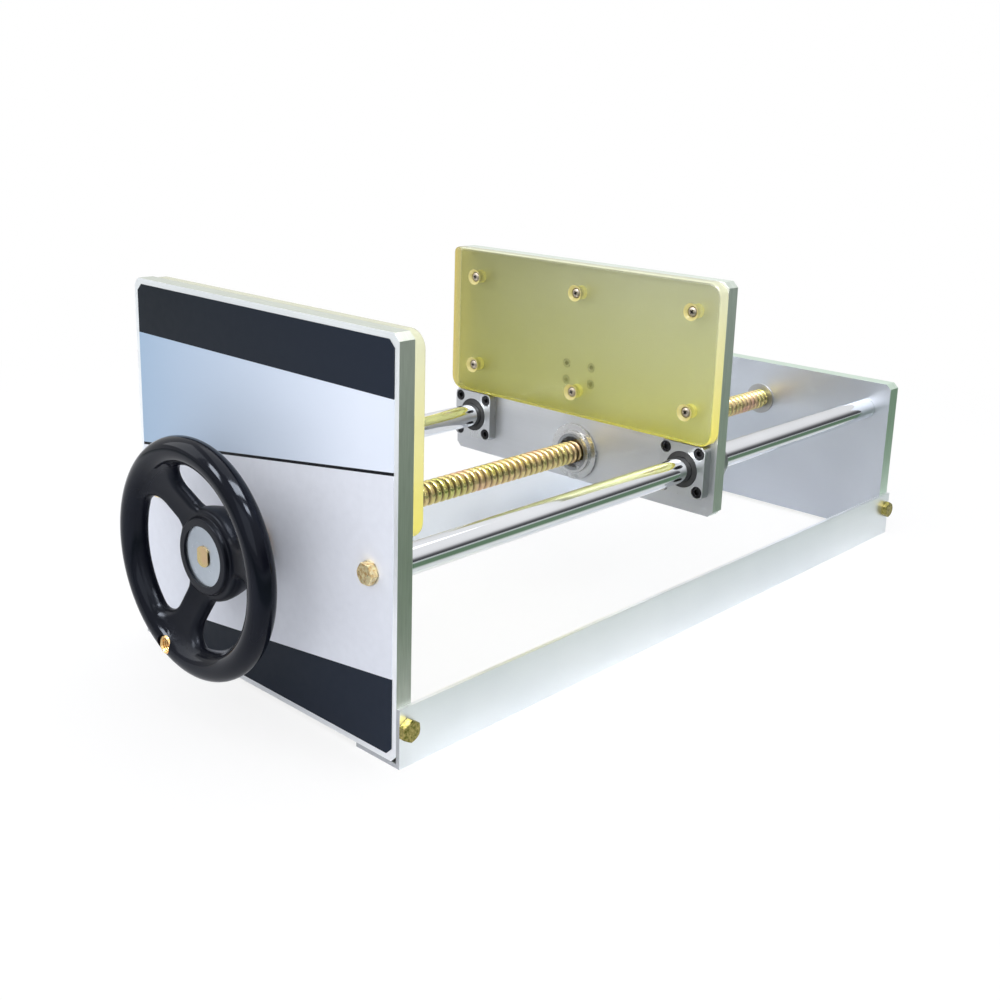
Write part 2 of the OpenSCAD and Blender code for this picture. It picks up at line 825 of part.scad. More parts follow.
// Lid of the nut block, with a hole for the lift rod
module block_cap() {
    color(steel) difference() {
        translate([-block_half, y_jaw_back, block_top]) cube([2 * block_half, block_len, block_cap_t]);
        translate([0, block_mid_y, block_top - over])
            cylinder(r = lift_r + slide_gap, h = block_cap_t + 2 * over);
        for (x = [-block_screw_x, block_screw_x]) translate([x, block_mid_y, block_top - over])
            cylinder(d = pad_screw_d + 2 * bolt_clear, h = block_cap_t + 2 * over);
    }
}

module cap_screws() {
    color(steel) for (x = [-block_screw_x, block_screw_x])
        translate([x, block_mid_y, block_top + block_cap_t]) rotate([180, 0, 0])
            cross_screw(block_cap_t + cap_screw_tap() - over);
}

// Spring inside the block that presses the half nut on the screw, drawn as a sleeve
module nut_spring() {
    color(steel) translate([0, block_mid_y, half_nut_base + half_nut_h])
        ring(lift_r + 3.5, lift_r + 1.5, nut_spring_h);
}

// Bracket behind the jaw that holds the release lever between two ears
module release_bracket() {
    half_w = ear_in + ear_t;
    ear_reach = pivot_y + pivot_barrel_r + 2;
    color(steel) difference() {
        union() {
            translate([-half_w, y_jaw_back, pivot_z - bracket_half_h])
                cube([2 * half_w, bracket_t, 2 * bracket_half_h]);
            for (x = [-half_w, ear_in]) translate([x, y_jaw_back, pivot_z - ear_half_h])
                cube([ear_t, ear_reach - y_jaw_back, 2 * ear_half_h]);
        }
        translate([-half_w - over, pivot_y, pivot_z]) rotate([0, 90, 0])
            cylinder(r = pivot_r + fit_gap, h = 2 * half_w + 2 * over);
        bracket_screw_places() bracket_screw(fit_gap, over);
    }
}

// The four places of the bracket's screws, on the jaw's front face
module bracket_screw_places() {
    x = ear_in + ear_t / 2;
    for (sx = [-x, x], dz = [-bracket_screw_dz, bracket_screw_dz]) backwards(sx, y_jaw, pivot_z + dz)
        children();
}

// Countersunk screw, flush at its base, with an allowance for cutting its hole
module bracket_screw(gap, extra) {
    r = bracket_screw_r;
    rotate_extrude() polygon([
        [0, -extra], [2 * r + gap, -extra], [2 * r + gap, 0.3], [r + gap, 0.3 + r],
        [r + gap, jaw_t + 3 * r + extra],
        [0, jaw_t + 3 * r + extra]
    ]);
}

module bracket_screws() {
    color(steel) bracket_screw_places() bracket_screw(0, 0);
}

// Pin that the lever turns on
module pivot_pin() {
    half = ear_in + ear_t;
    color(steel) translate([-half, pivot_y, pivot_z]) rotate([0, 90, 0]) cylinder(r = pivot_r, h = 2 * half);
}

// Half nut that drops on the screw and lifts to let the jaw slide
module half_nut() {
    len = slot_len - 2 * slide_gap;
    color("#a9793c") difference() {
        translate([-half_nut_w / 2, block_mid_y - len / 2, half_nut_base])
            cube([half_nut_w, len, half_nut_h]);
        bar(0, y_jaw_back, screw_z, screw_r + slide_gap, block_len);
        translate([0, block_mid_y, half_nut_base + half_nut_h - lift_thread()])
            cylinder(r = lift_r + fit_gap, h = lift_thread() + over);
    }
}

// Depth of the lift rod's thread in the half nut
function lift_thread() = 8;

// Rod from the half nut up to the lever
module lift_rod() {
    base = half_nut_base + half_nut_h - lift_thread();
    color(steel) translate([0, block_mid_y, base])
        cylinder(r = lift_r, h = pivot_z + prong_r + stop_gap + lift_nut_h + 2 - base);
}

// Nut on the lift rod that the lever's prongs lift
module lift_nut() {
    color(yellow_zinc) translate([0, block_mid_y, pivot_z + prong_r + stop_gap]) difference() {
        cylinder(d = lift_nut_af / cos(30), h = lift_nut_h, $fn = 6);
        translate([0, 0, -over]) cylinder(r = lift_r + fit_gap, h = lift_nut_h + 2 * over);
    }
}

// Release lever: a barrel on the pin, two prongs under the lift nut, and an arm up
module release_lever() {
    slot_half = lift_r + 1;
    color(steel) translate([-lever_w / 2, pivot_y, pivot_z]) difference() {
        rotate([90, 0, 90]) linear_extrude(height = lever_w) difference() {
            union() {
                circle(r = pivot_barrel_r);
                translate([-prong_arm, 0]) circle(r = prong_r);
                translate([-prong_arm, -prong_r]) square([prong_arm, 2 * prong_r]);
                translate([-lever_t / 2 + 0.5, 0]) square([lever_t, lever_len]);
            }
            circle(r = pivot_r + run_gap);
        }
        translate([lever_w / 2 - slot_half, -prong_arm - prong_r - over, -pivot_barrel_r])
            cube([2 * slot_half, prong_r + over + prong_arm - pivot_barrel_r, 2 * pivot_barrel_r]);
    }
}

// Dipped grip over the lever's upper end
module lever_grip() {
    w = lever_w + 2 * grip_wall;
    t = lever_t + 2 * grip_wall;
    color(black) translate([0, pivot_y + 0.5, pivot_z + lever_len - grip_len + grip_wall]) difference() {
        translate([-w / 2, -t / 2, 0]) cube([w, t, grip_len]);
        translate([-lever_w / 2 - fit_gap, -lever_t / 2 - fit_gap, -over])
            cube([lever_w + 2 * fit_gap, lever_t + 2 * fit_gap, grip_len - grip_wall + over]);
    }
}

front_plate();
front_label();
fixed_pad();
fixed_pad_screws();
back_plate();
left_rail();
right_rail();
rail_bolts();
left_rod();
right_rod();
rod_bolts();
front_bush();
rear_bush();
thrust_washer();
lead_screw();
handwheel();
wheel_hub();
hub_set_screw();
handle_insert();
shaft_collar();
collar_set_screw();
jaw_plate();
jaw_pad();
jaw_pad_screws();
left_bearing();
right_bearing();
left_cage();
right_cage();
left_seals();
right_seals();
flange_screws();
screw_guide();
snap_ring();
nut_block();
block_screws();
block_cap();
cap_screws();
nut_spring();
release_bracket();
bracket_screws();
pivot_pin();
half_nut();
lift_rod();
lift_nut();
release_lever();
lever_grip();
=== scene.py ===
import math

import bmesh
import bpy
from mathutils import Matrix, Vector


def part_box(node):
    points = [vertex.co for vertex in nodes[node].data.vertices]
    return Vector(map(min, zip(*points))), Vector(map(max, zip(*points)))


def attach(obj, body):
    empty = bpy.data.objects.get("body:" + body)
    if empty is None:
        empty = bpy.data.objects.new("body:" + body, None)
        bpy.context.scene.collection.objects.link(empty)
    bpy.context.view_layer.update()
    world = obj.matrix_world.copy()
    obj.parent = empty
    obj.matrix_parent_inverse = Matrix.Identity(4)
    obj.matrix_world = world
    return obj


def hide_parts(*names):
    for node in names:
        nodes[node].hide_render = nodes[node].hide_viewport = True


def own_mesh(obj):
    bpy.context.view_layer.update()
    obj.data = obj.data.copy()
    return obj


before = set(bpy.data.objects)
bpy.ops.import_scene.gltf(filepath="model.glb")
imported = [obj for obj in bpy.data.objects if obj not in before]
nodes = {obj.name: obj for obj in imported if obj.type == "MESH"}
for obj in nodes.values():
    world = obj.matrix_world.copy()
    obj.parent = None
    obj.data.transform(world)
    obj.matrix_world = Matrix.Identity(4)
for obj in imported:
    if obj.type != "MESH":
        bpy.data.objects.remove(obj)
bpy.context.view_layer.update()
scene = bpy.context.scene
scene.view_settings.view_transform = "Standard"

# Camera: it stands to the right of the handwheel and looks down along the vise.
# Its place, turn and lens were solved from the plates, rails and rods in the picture.
camera_data = bpy.data.cameras.new("camera")
camera_data.sensor_fit = "HORIZONTAL"
camera_data.sensor_width = 36.0
camera_data.lens = 45.155
camera_data.shift_x = 0.0139
camera_data.shift_y = -0.0824
camera_data.clip_start = 0.01
camera_data.clip_end = 50.0
camera = bpy.data.objects.new("camera", camera_data)
camera_place = (0.6451, -0.7622, 0.4007)
to_right = Vector((0.72438, 0.6889, 0.02629))
to_top = Vector((-0.19043, 0.16329, 0.96803))
to_viewer = Vector((0.66258, -0.70623, 0.24947))
facing = Matrix((to_right, to_top, to_viewer)).transposed().to_4x4()
camera.matrix_world = Matrix.Translation(camera_place) @ facing
scene.collection.objects.link(camera)
scene.camera = camera

# Studio: a white paper sweep under soft boxes, in a room that is bright above and dim to the right.
# The camera sees plain white, and the metal sees the room, so that it keeps its light and dark bands.
# The fill at the right has no shine, and the narrow tubes and the dark paper show in the shine alone.
world = bpy.data.worlds.new("studio")
world.use_nodes = True
scene.world = world
sky = world.node_tree
sky.nodes.clear()


def feed(tree, socket, value):
    """Link a socket to another one, or set it to a constant."""
    if isinstance(value, bpy.types.NodeSocket):
        tree.links.new(value, socket)
    else:
        socket.default_value = value


def place_on(tree, kind, axis):
    """Give one axis of a texture coordinate."""
    place = tree.nodes.new("ShaderNodeTexCoord")
    split = tree.nodes.new("ShaderNodeSeparateXYZ")
    tree.links.new(place.outputs[kind], split.inputs[0])
    return split.outputs[axis]


def grey(share):
    return (share, share, share, 1.0)


def colour_steps(tree, amount, *steps):
    """Run through two or more steps, each a place and a colour."""
    ramp = tree.nodes.new("ShaderNodeValToRGB")
    marks = ramp.color_ramp.elements
    marks[0].position, marks[0].color = steps[0]
    marks[1].position, marks[1].color = steps[-1]
    for place, colour in steps[1:-1]:
        marks.new(place).color = colour
    tree.links.new(amount, ramp.inputs["Fac"])
    return ramp.outputs["Color"]


def spread_over(tree, amount, low, high, start=0.3, end=0.7, bend="LINEAR"):
    """Turn an amount that runs from start to end into one that runs from low to high."""
    reach = tree.nodes.new("ShaderNodeMapRange")
    reach.interpolation_type = bend
    limits = {"Value": amount, "From Min": start, "From Max": end, "To Min": low, "To Max": high}
    for name, value in limits.items():
        feed(tree, reach.inputs[name], value)
    return reach.outputs["Result"]


def worked_out(tree, operation, *values):
    """Do one step of arithmetic."""
    step = tree.nodes.new("ShaderNodeMath")
    step.operation = operation
    for socket, value in zip(step.inputs, values):
        feed(tree, socket, value)
    return step.outputs[0]


def laid_over(tree, share, below, above):
    """Lay one colour over another."""
    layer = tree.nodes.new("ShaderNodeMix")
    layer.data_type = "RGBA"
    for name, value in {"Factor": share, "A": below, "B": above}.items():
        feed(tree, layer.inputs[name], value)
    return layer.outputs["Result"]


def mixed(tree, share, first, second):
    """Mix two shaders."""
    mix = tree.nodes.new("ShaderNodeMixShader")
    for socket, value in zip(mix.inputs, (share, first, second)):
        feed(tree, socket, value)
    return mix.outputs[0]


def glow(colour, strength=1.0):
    light = sky.nodes.new("ShaderNodeBackground")
    feed(sky, light.inputs["Color"], colour)
    light.inputs["Strength"].default_value = strength
    return light.outputs[0]


sky_height = place_on(sky, "Generated", "Z")
sky_grey = colour_steps(
    sky, sky_height, (0.0, grey(0.80)), (0.12, grey(0.72)), (0.35, grey(0.86)), (0.62, grey(1.0))
)
sky_way = sky.nodes.new("ShaderNodeTexCoord")
sky_turn = sky.nodes.new("ShaderNodeVectorMath")
sky_turn.operation = "DOT_PRODUCT"
sky_turn.inputs[1].default_value = (0.78, 0.62, 0.0)
sky.links.new(sky_way.outputs["Generated"], sky_turn.inputs[0])
sky_side = spread_over(sky, sky_turn.outputs["Value"], 0.0, 1.0, 0.35, 0.85, "SMOOTHSTEP")
sky_low = spread_over(sky, sky_height, 0.95, 0.0, 0.12, 0.46, "SMOOTHSTEP")
sky_shade = worked_out(sky, "MULTIPLY", sky_side, sky_low)
sky_room = glow(laid_over(sky, sky_shade, sky_grey, (0.05, 0.05, 0.055, 1.0)))
sky_fill = glow((0.95, 0.97, 1.0, 1.0), 0.75)
sky_rays = sky.nodes.new("ShaderNodeLightPath").outputs
sky_seen = mixed(sky, sky_rays["Is Glossy Ray"], sky_fill, sky_room)
sky_clear = worked_out(sky, "MAXIMUM", sky_rays["Is Camera Ray"], sky_rays["Is Transmission Ray"])
sky_out = sky.nodes.new("ShaderNodeOutputWorld")
sky.links.new(mixed(sky, sky_clear, sky_seen, glow(grey(1.0))), sky_out.inputs["Surface"])


def soft_box(name, place, target, size, watts, along=(0, 0, 1)):
    lamp = bpy.data.lights.new(name, "AREA")
    lamp.shape = "RECTANGLE"
    lamp.size, lamp.size_y = size
    lamp.energy = watts
    holder = bpy.data.objects.new(name, lamp)
    away = (Vector(place) - Vector(target)).normalized()
    up = (Vector(along) - away * away.dot(Vector(along))).normalized()
    aim = Matrix((up.cross(away), up, away)).transposed().to_4x4()
    holder.matrix_world = Matrix.Translation(place) @ aim
    scene.collection.objects.link(holder)
    return holder


soft_box("top_box", (-0.1, 0.1, 1.7), target=(0.0, 0.0, 0.1), size=(1.6, 1.6), watts=12.0)
soft_box("left_box", (-1.3, -1.1, 1.1), target=(0.0, -0.1, 0.12), size=(1.0, 1.2), watts=7.0)
soft_box("front_box", (0.9, -1.7, 0.9), target=(0.0, -0.2, 0.1), size=(1.4, 1.1), watts=6.0)
right_fill = soft_box("right_fill", (1.5, -0.1, 0.7), target=(0.1, 0.0, 0.15), size=(1.2, 1.2), watts=4.5)
right_fill.visible_glossy = False
wheel_front = (0.0, -0.34, 0.11)
for tube_name, tube_place, tube_size, tube_watts, tube_along in (
    ("tube_near", (0.46, -0.41, 1.43), (0.34, 1.0), 30.0, (0.23, 0.97, 0.0)),
    ("tube_far", (0.95, -0.44, 1.31), (0.20, 0.5), 9.5, (0.32, 0.95, 0.0)),
    ("tube_left", (-0.44, -1.41, 1.09), (0.30, 0.5), 13.0, (0.0, 0.0, 1.0)),
):
    tube = soft_box(tube_name, tube_place, wheel_front, tube_size, tube_watts, tube_along)
    tube.visible_diffuse = False
    tube.visible_transmission = False


def mesh_of(name, shape):
    mesh = bpy.data.meshes.new(name)
    shape.to_mesh(mesh)
    shape.free()
    return mesh


def loose_object(name, mesh):
    holder = bpy.data.objects.new(name, mesh)
    scene.collection.objects.link(holder)
    return holder


def reach_from(tree, middle, spread):
    """Measure how far a point lies from the middle, along the axes that spread keeps."""
    place = tree.nodes.new("ShaderNodeTexCoord")
    away = tree.nodes.new("ShaderNodeVectorMath")
    away.operation = "MULTIPLY_ADD"
    away.inputs[1].default_value = spread
    away.inputs[2].default_value = [-part for part in middle]
    reach = tree.nodes.new("ShaderNodeVectorMath")
    reach.operation = "LENGTH"
    tree.links.new(place.outputs["Object"], away.inputs[0])
    tree.links.new(away.outputs["Vector"], reach.inputs[0])
    return reach.outputs["Value"]


paper_finish = bpy.data.materials.new("paper")
paper_finish.use_nodes = True
paper_tree = paper_finish.node_tree
paper_tree.nodes.clear()
paper_flat = paper_tree.nodes.new("ShaderNodeBsdfDiffuse")
paper_flat.inputs["Color"].default_value = (0.92, 0.92, 0.93, 1.0)
paper_dark = paper_tree.nodes.new("ShaderNodeBsdfDiffuse")
paper_dark.inputs["Color"].default_value = (0.125, 0.20, 0.125, 1.0)
paper_white = paper_tree.nodes.new("ShaderNodeEmission")
paper_rays = paper_tree.nodes.new("ShaderNodeLightPath").outputs
paper_right = colour_steps(
    paper_tree, place_on(paper_tree, "Object", "X"),
    (0.138, grey(0.0)), (0.143, grey(0.18)), (0.20, grey(0.28)), (0.26, grey(1.0)), (0.60, grey(1.0)),
    (0.95, grey(0.4)),
)
paper_front = spread_over(
    paper_tree, place_on(paper_tree, "Object", "Y"), 0.0, 0.6, -0.70, -1.20, "SMOOTHSTEP"
)
paper_round = worked_out(paper_tree, "MAXIMUM", paper_right, paper_front)
paper_seen = worked_out(paper_tree, "MULTIPLY", paper_round, paper_rays["Is Glossy Ray"])
paper_under = mixed(paper_tree, paper_seen, paper_flat.outputs[0], paper_dark.outputs[0])
paper_fade = spread_over(paper_tree, reach_from(paper_tree, (0, 0, 0), (1, 1, 1)), 0.80, 1.0, 0.3, 1.1)
paper_share = worked_out(paper_tree, "MULTIPLY", paper_rays["Is Camera Ray"], paper_fade)
paper_out = paper_tree.nodes.new("ShaderNodeOutputMaterial")
paper_tree.links.new(
    mixed(paper_tree, paper_share, paper_under, paper_white.outputs[0]), paper_out.inputs["Surface"]
)
paper_shape = bmesh.new()
bmesh.ops.create_grid(paper_shape, x_segments=1, y_segments=1, size=6.0)
paper = loose_object("paper", mesh_of("paper", paper_shape))
paper.data.materials.append(paper_finish)

# Angle rails: two lengths of drawn aluminium angle, sawn square and left satin.
# They lie along both sides, one leg under the plates and the other outside them.
sharp_from = math.radians(38.0)
round_faces = bpy.data.node_groups.new("round_faces", "GeometryNodeTree")
for way in ("INPUT", "OUTPUT"):
    round_faces.interface.new_socket("Geometry", in_out=way, socket_type="NodeSocketGeometry")
rf_in = round_faces.nodes.new("NodeGroupInput")
rf_out = round_faces.nodes.new("NodeGroupOutput")
rf_bare = round_faces.nodes.new("GeometryNodeRemoveAttribute")
rf_bare.inputs["Name"].default_value = "custom_normal"
rf_faces = round_faces.nodes.new("GeometryNodeSetShadeSmooth")
rf_edges = round_faces.nodes.new("GeometryNodeSetShadeSmooth")
rf_edges.domain = "EDGE"
rf_angle = round_faces.nodes.new("GeometryNodeInputMeshEdgeAngle")
rf_limit = round_faces.nodes.new("FunctionNodeCompare")
rf_limit.operation = "LESS_THAN"
rf_limit.inputs["B"].default_value = sharp_from
round_faces.links.new(rf_in.outputs[0], rf_bare.inputs[0])
round_faces.links.new(rf_bare.outputs[0], rf_faces.inputs["Geometry"])
round_faces.links.new(rf_faces.outputs[0], rf_edges.inputs["Geometry"])
round_faces.links.new(rf_angle.outputs["Unsigned Angle"], rf_limit.inputs["A"])
round_faces.links.new(rf_limit.outputs["Result"], rf_edges.inputs["Shade Smooth"])
round_faces.links.new(rf_edges.outputs[0], rf_out.inputs[0])


def round_off(piece):
    """Shade round stretches smooth, and leave flat faces flat."""
    piece.modifiers.new("round_faces", "NODES").node_group = round_faces
    piece.modifiers.new("even", "WEIGHTED_NORMAL").keep_sharp = True


def break_edges(piece, width, segments=2):
    """Break the sharp edges by a small bevel."""
    weld = piece.modifiers.new("weld", "WELD")
    weld.merge_threshold = 0.000005
    flats = piece.modifiers.new("flats", "DECIMATE")
    flats.decimate_type = "DISSOLVE"
    flats.angle_limit = math.radians(0.2)
    edges = piece.modifiers.new("edges", "BEVEL")
    edges.width = width
    edges.segments = segments
    edges.limit_method = "ANGLE"
    edges.angle_limit = sharp_from
    round_off(piece)


def tone(colour):
    """Turn a colour as seen on a screen, 0 to 255, into a linear one."""
    parts = [part / 255 for part in colour]
    return tuple(((c + 0.055) / 1.055) ** 2.4 if c > 0.04045 else c / 12.92 for c in parts) + (1.0,)


def new_finish(name, metal, rough):
    finish = bpy.data.materials.new(name)
    finish.use_nodes = True
    tree = finish.node_tree
    shader = tree.nodes["Principled BSDF"]
    shader.inputs["Metallic"].default_value = metal
    shader.inputs["Roughness"].default_value = rough
    return finish, tree, shader


def grain(tree, scale, detail=4.0):
    """Give a cloudy pattern, drawn out into lines where the scale differs from axis to axis."""
    place = tree.nodes.new("ShaderNodeTexCoord")
    stretch = tree.nodes.new("ShaderNodeMapping")
    stretch.inputs["Scale"].default_value = scale if isinstance(scale, tuple) else (scale, scale, scale)
    noise = tree.nodes.new("ShaderNodeTexNoise")
    noise.inputs["Scale"].default_value = 1.0
    noise.inputs["Detail"].default_value = detail
    noise.inputs["Roughness"].default_value = 0.55
    tree.links.new(place.outputs["Object"], stretch.inputs["Vector"])
    tree.links.new(stretch.outputs["Vector"], noise.inputs["Vector"])
    return noise.outputs["Fac"]


def tint(tree, amount, dark, light, low=0.3, high=0.7):
    return colour_steps(tree, amount, (low, tone(dark)), (high, tone(light)))


def raise_grain(tree, shader, amount, depth):
    bump = tree.nodes.new("ShaderNodeBump")
    bump.inputs["Strength"].default_value = 0.6
    bump.inputs["Distance"].default_value = depth
    tree.links.new(amount, bump.inputs["Height"])
    tree.links.new(bump.outputs["Normal"], shader.inputs["Normal"])


def worked_metal(name, dark, light, rough, tool_marks, cloud=9.0, depth=0.000003):
    """A bare or plated metal, clouded in tone, with the marks of the tool in its shine."""
    finish, tree, shader = new_finish(name, 1.0, sum(rough) / 2)
    marks = grain(tree, tool_marks)
    feed(tree, shader.inputs["Base Color"], tint(tree, grain(tree, cloud, 2.0), dark, light))
    feed(tree, shader.inputs["Roughness"], spread_over(tree, marks, *rough))
    raise_grain(tree, shader, marks, depth)
    return finish


def sawn_edges_painted_shade_and_reflection(finish, dark, light, ends=False):
    """Give a slab's narrow sides, or a bar's ends, the tone of a sawn face, painted darker as painted shade,
    and on the plates tinted green as a painted reflection of green surroundings.
    """
    tree = finish.node_tree
    shader = tree.nodes["Principled BSDF"]
    face_tone = shader.inputs["Base Color"].links[0].from_socket
    sawn_shade_reflection_tone = tint(tree, grain(tree, (60.0, 900.0, 60.0)), dark, light)
    facing_y = worked_out(tree, "ABSOLUTE", place_on(tree, "Normal", "Y"))
    share = spread_over(tree, facing_y, 0.0, 1.0, 0.6, 0.9)
    layers = (face_tone, sawn_shade_reflection_tone) if ends else (sawn_shade_reflection_tone, face_tone)
    feed(tree, shader.inputs["Base Color"], laid_over(tree, share, *layers))


def dress(name, finish, edge, segments=2):
    """Give a CAD node its finish and broken edges."""
    piece = nodes[name]
    piece.data.materials.clear()
    piece.data.materials.append(finish)
    break_edges(piece, edge, segments)


rail_metal = worked_metal(
    "drawn_aluminium", (232, 236, 240), (242, 245, 248), (0.30, 0.42), (1500.0, 6.0, 1500.0)
)
# Painted shade: the rails' ends take a darker sawn tone, partly the sawn face and partly painted shade.
sawn_edges_painted_shade_and_reflection(rail_metal, (174, 176, 180), (188, 190, 194), ends=True)
for rail in ("left_rail", "right_rail"):
    dress(rail, rail_metal, edge=0.0003)

# End plates: milled aluminium slabs with the corners cut off, brushed along their width.
# They stand on the rails' lower legs, and the rods, the screw and the rails are bolted to them.
front_low, front_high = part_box("front_plate")
back_low, back_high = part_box("back_plate")
plate_half, y_front, y_inner = front_high.x, front_low.y, front_high.y
brushed_across = (8.0, 1500.0, 1500.0)
plate_metal = worked_metal("brushed_plate", (182, 187, 195), (192, 197, 205), (0.30, 0.40), brushed_across)
satin_plate = worked_metal("satin_plate", (236, 238, 242), (245, 247, 250), (0.36, 0.46), brushed_across)
# Painted reflection: the plates' narrow sides take a darker, greenish sawn tone, partly the sawn face and
# partly a painted reflection of green surroundings.
sawn_edges_painted_shade_and_reflection(satin_plate, (179, 184, 175), (193, 198, 189))
sawn_edges_painted_shade_and_reflection(plate_metal, (206, 224, 210), (220, 238, 224))
dress("front_plate", satin_plate, edge=0.0005)
dress("back_plate", plate_metal, edge=0.0005)

# Front panel: a thin film glued on the front plate, printed in plain bands of colour.
# A dark head and foot, a pale band that fades from blue to white, and a grey field under a thin line.
fade_half, foot_line, foot_slope = 0.133, 0.0419, 0.12
field_line, pale_line, field_slope, head_line = 0.1674, 0.1694, 0.1395, 0.2315
panel_film, panel_tree, panel_shader = new_finish("printed_film", 0.0, 0.32)
panel_shader.inputs["Specular IOR Level"].default_value = 0.10
panel_x = place_on(panel_tree, "Object", "X")
panel_z = place_on(panel_tree, "Object", "Z")


def above_line(height, slope):
    level = worked_out(panel_tree, "MULTIPLY_ADD", panel_x, -slope, panel_z)
    return worked_out(panel_tree, "GREATER_THAN", level, height)


panel_across = spread_over(panel_tree, panel_x, 0.0, 1.0, -fade_half, fade_half)
panel_grain = grain(panel_tree, 140.0, 3.0)
panel_pale = tint(panel_tree, panel_across, (159, 181, 205), (224, 231, 244), 0.0, 0.9)
panel_grey = tint(panel_tree, panel_grain, (219, 222, 231), (223, 226, 235))
panel_dark = tint(panel_tree, panel_across, (20, 27, 36), (30, 38, 52), 0.1, 1.0)
panel_ink = panel_dark
for height, slope, ink in (
    (foot_line, foot_slope, panel_grey),
    (field_line, field_slope, tone((16, 19, 24))),
    (pale_line, field_slope, panel_pale),
    (head_line, 0.0, panel_dark),
):
    panel_ink = laid_over(panel_tree, above_line(height, slope), panel_ink, ink)
feed(panel_tree, panel_shader.inputs["Base Color"], panel_ink)
feed(panel_tree, panel_shader.inputs["Roughness"], spread_over(panel_tree, panel_grain, 0.36, 0.46))
dress("front_label", panel_film, edge=0.0001, segments=1)

# Hex bolts: zinc plated, cold headed with a chamfered crown and a washer face.
# Four go through the plates into the rods' ends, plated yellow and speckled.
# Four more go through the rails into the plates' edges, in a darker olive yellow that is partly plating and
# partly painted shade.
rail_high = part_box("right_rail")[1]
rail_bolts_low, rail_bolts_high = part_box("rail_bolts")
rod_bolts_low, rod_bolts_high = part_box("rod_bolts")
rod_middle = sum(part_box("right_rod"), Vector()) / 2
bolt_head = rail_bolts_high.x - rail_high.x
bolt_flats = rod_bolts_high.z - rod_bolts_low.z
bolt_z = (rail_bolts_low.z + rail_bolts_high.z) / 2
bolt_r, crown_r, washer_face, crown_slope = 0.004, 0.0061, 0.0004, math.tan(math.radians(30))
rail_bolt_len, rod_bolt_len, shank_lap = 0.024, 0.026, 0.0002
hex_shape = bmesh.new()
bmesh.ops.create_cone(
    hex_shape, cap_ends=True, segments=48, radius1=1.0, radius2=1.0, depth=bolt_head - washer_face
)
bmesh.ops.translate(hex_shape, verts=hex_shape.verts[:], vec=(0, 0, (bolt_head + washer_face) / 2))
for corner in hex_shape.verts:
    turn = math.atan2(corner.co.y, corner.co.x) % math.radians(60) - math.radians(30)
    corner.co.xy *= bolt_flats / 2 / math.cos(turn)
hex_top = [f for f in hex_shape.faces if f.normal.z > 0.9]
bmesh.ops.inset_region(hex_shape, faces=hex_top, thickness=0.0003)
crown = set(v for f in hex_top for v in f.verts)
for corner in hex_shape.verts:
    reach = corner.co.xy.length
    if corner in crown:
        corner.co.xy *= crown_r / reach
    elif corner.co.z > bolt_head / 2:
        corner.co.z -= (reach - crown_r) * crown_slope
bmesh.ops.create_cone(
    hex_shape, cap_ends=True, segments=32, radius1=crown_r, radius2=crown_r, depth=2 * washer_face,
    matrix=Matrix.Translation((0, 0, washer_face)),
)
hex_head = mesh_of("hex_head", hex_shape)


def set_in(whole, shape, place):
    """Set a copy of a mesh in a bmesh, at its place."""
    placed = shape.copy()
    placed.transform(place)
    whole.from_mesh(placed)
    bpy.data.meshes.remove(placed)


def add_bar(whole, place, radius, low, high, segments=32):
    bmesh.ops.create_cone(
        whole, cap_ends=True, segments=segments, radius1=radius, radius2=radius, depth=high - low,
        matrix=place @ Matrix.Translation((0, 0, (low + high) / 2)),
    )


def make_piece(name, shape, finishes, body, stands_for, edge=0.0):
    """Make a piece that rides on a body in place of a CAD node."""
    piece = loose_object(name, mesh_of(name, shape))
    for finish in finishes:
        piece.data.materials.append(finish)
    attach(piece, body)
    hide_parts(stands_for)
    if edge:
        break_edges(piece, edge, 1)
    else:
        round_off(piece)
    return piece


bolt_zinc = worked_metal(
    "yellow_zinc", (212, 172, 108), (255, 248, 206), (0.26, 0.52), 420.0, cloud=520.0, depth=0.00006
)
# Painted shade: the rail bolts' darker olive tone is partly the plating and partly painted shade.
olive_zinc_painted_shade = worked_metal(
    "olive_zinc_painted_shade", (98, 100, 40), (190, 174, 108), (0.26, 0.52), 420.0, cloud=520.0, depth=0.00006
)
rail_bolt_shape = bmesh.new()
rod_bolt_shape = bmesh.new()
for side in (-1, 1):
    for low, high in ((front_low, front_high), (back_low, back_high)):
        outward = Matrix.Rotation(side * math.pi / 2, 4, "Y")
        place = Matrix.Translation((side * rail_high.x, (low.y + high.y) / 2, bolt_z)) @ outward
        set_in(rail_bolt_shape, hex_head, place)
        add_bar(rail_bolt_shape, place, bolt_r, -rail_bolt_len, shank_lap)
    for y, turn in ((front_low.y, math.pi / 2), (back_high.y, -math.pi / 2)):
        place = Matrix.Translation((side * rod_middle.x, y, rod_middle.z)) @ Matrix.Rotation(turn, 4, "X")
        set_in(rod_bolt_shape, hex_head, place)
        add_bar(rod_bolt_shape, place, bolt_r, -rod_bolt_len, shank_lap)
make_piece("rail_bolt_set", rail_bolt_shape, [olive_zinc_painted_shade], "frame", "rail_bolts")
make_piece("rod_bolt_set", rod_bolt_shape, [bolt_zinc], "frame", "rod_bolts")

# Guide rods: hardened steel bars, ground round and hard chromed, with a tapped hole in each end.
# Their ends sit in shallow recesses in both plates, and a bolt pulls each end home.
rod_chrome = worked_metal(
    "hard_chrome", (222, 224, 228), (232, 234, 238), (0.06, 0.10), (40.0, 900.0, 40.0), depth=0.000001
)
for rod in ("left_rod", "right_rod"):
    dress(rod, rod_chrome, edge=0.0006)

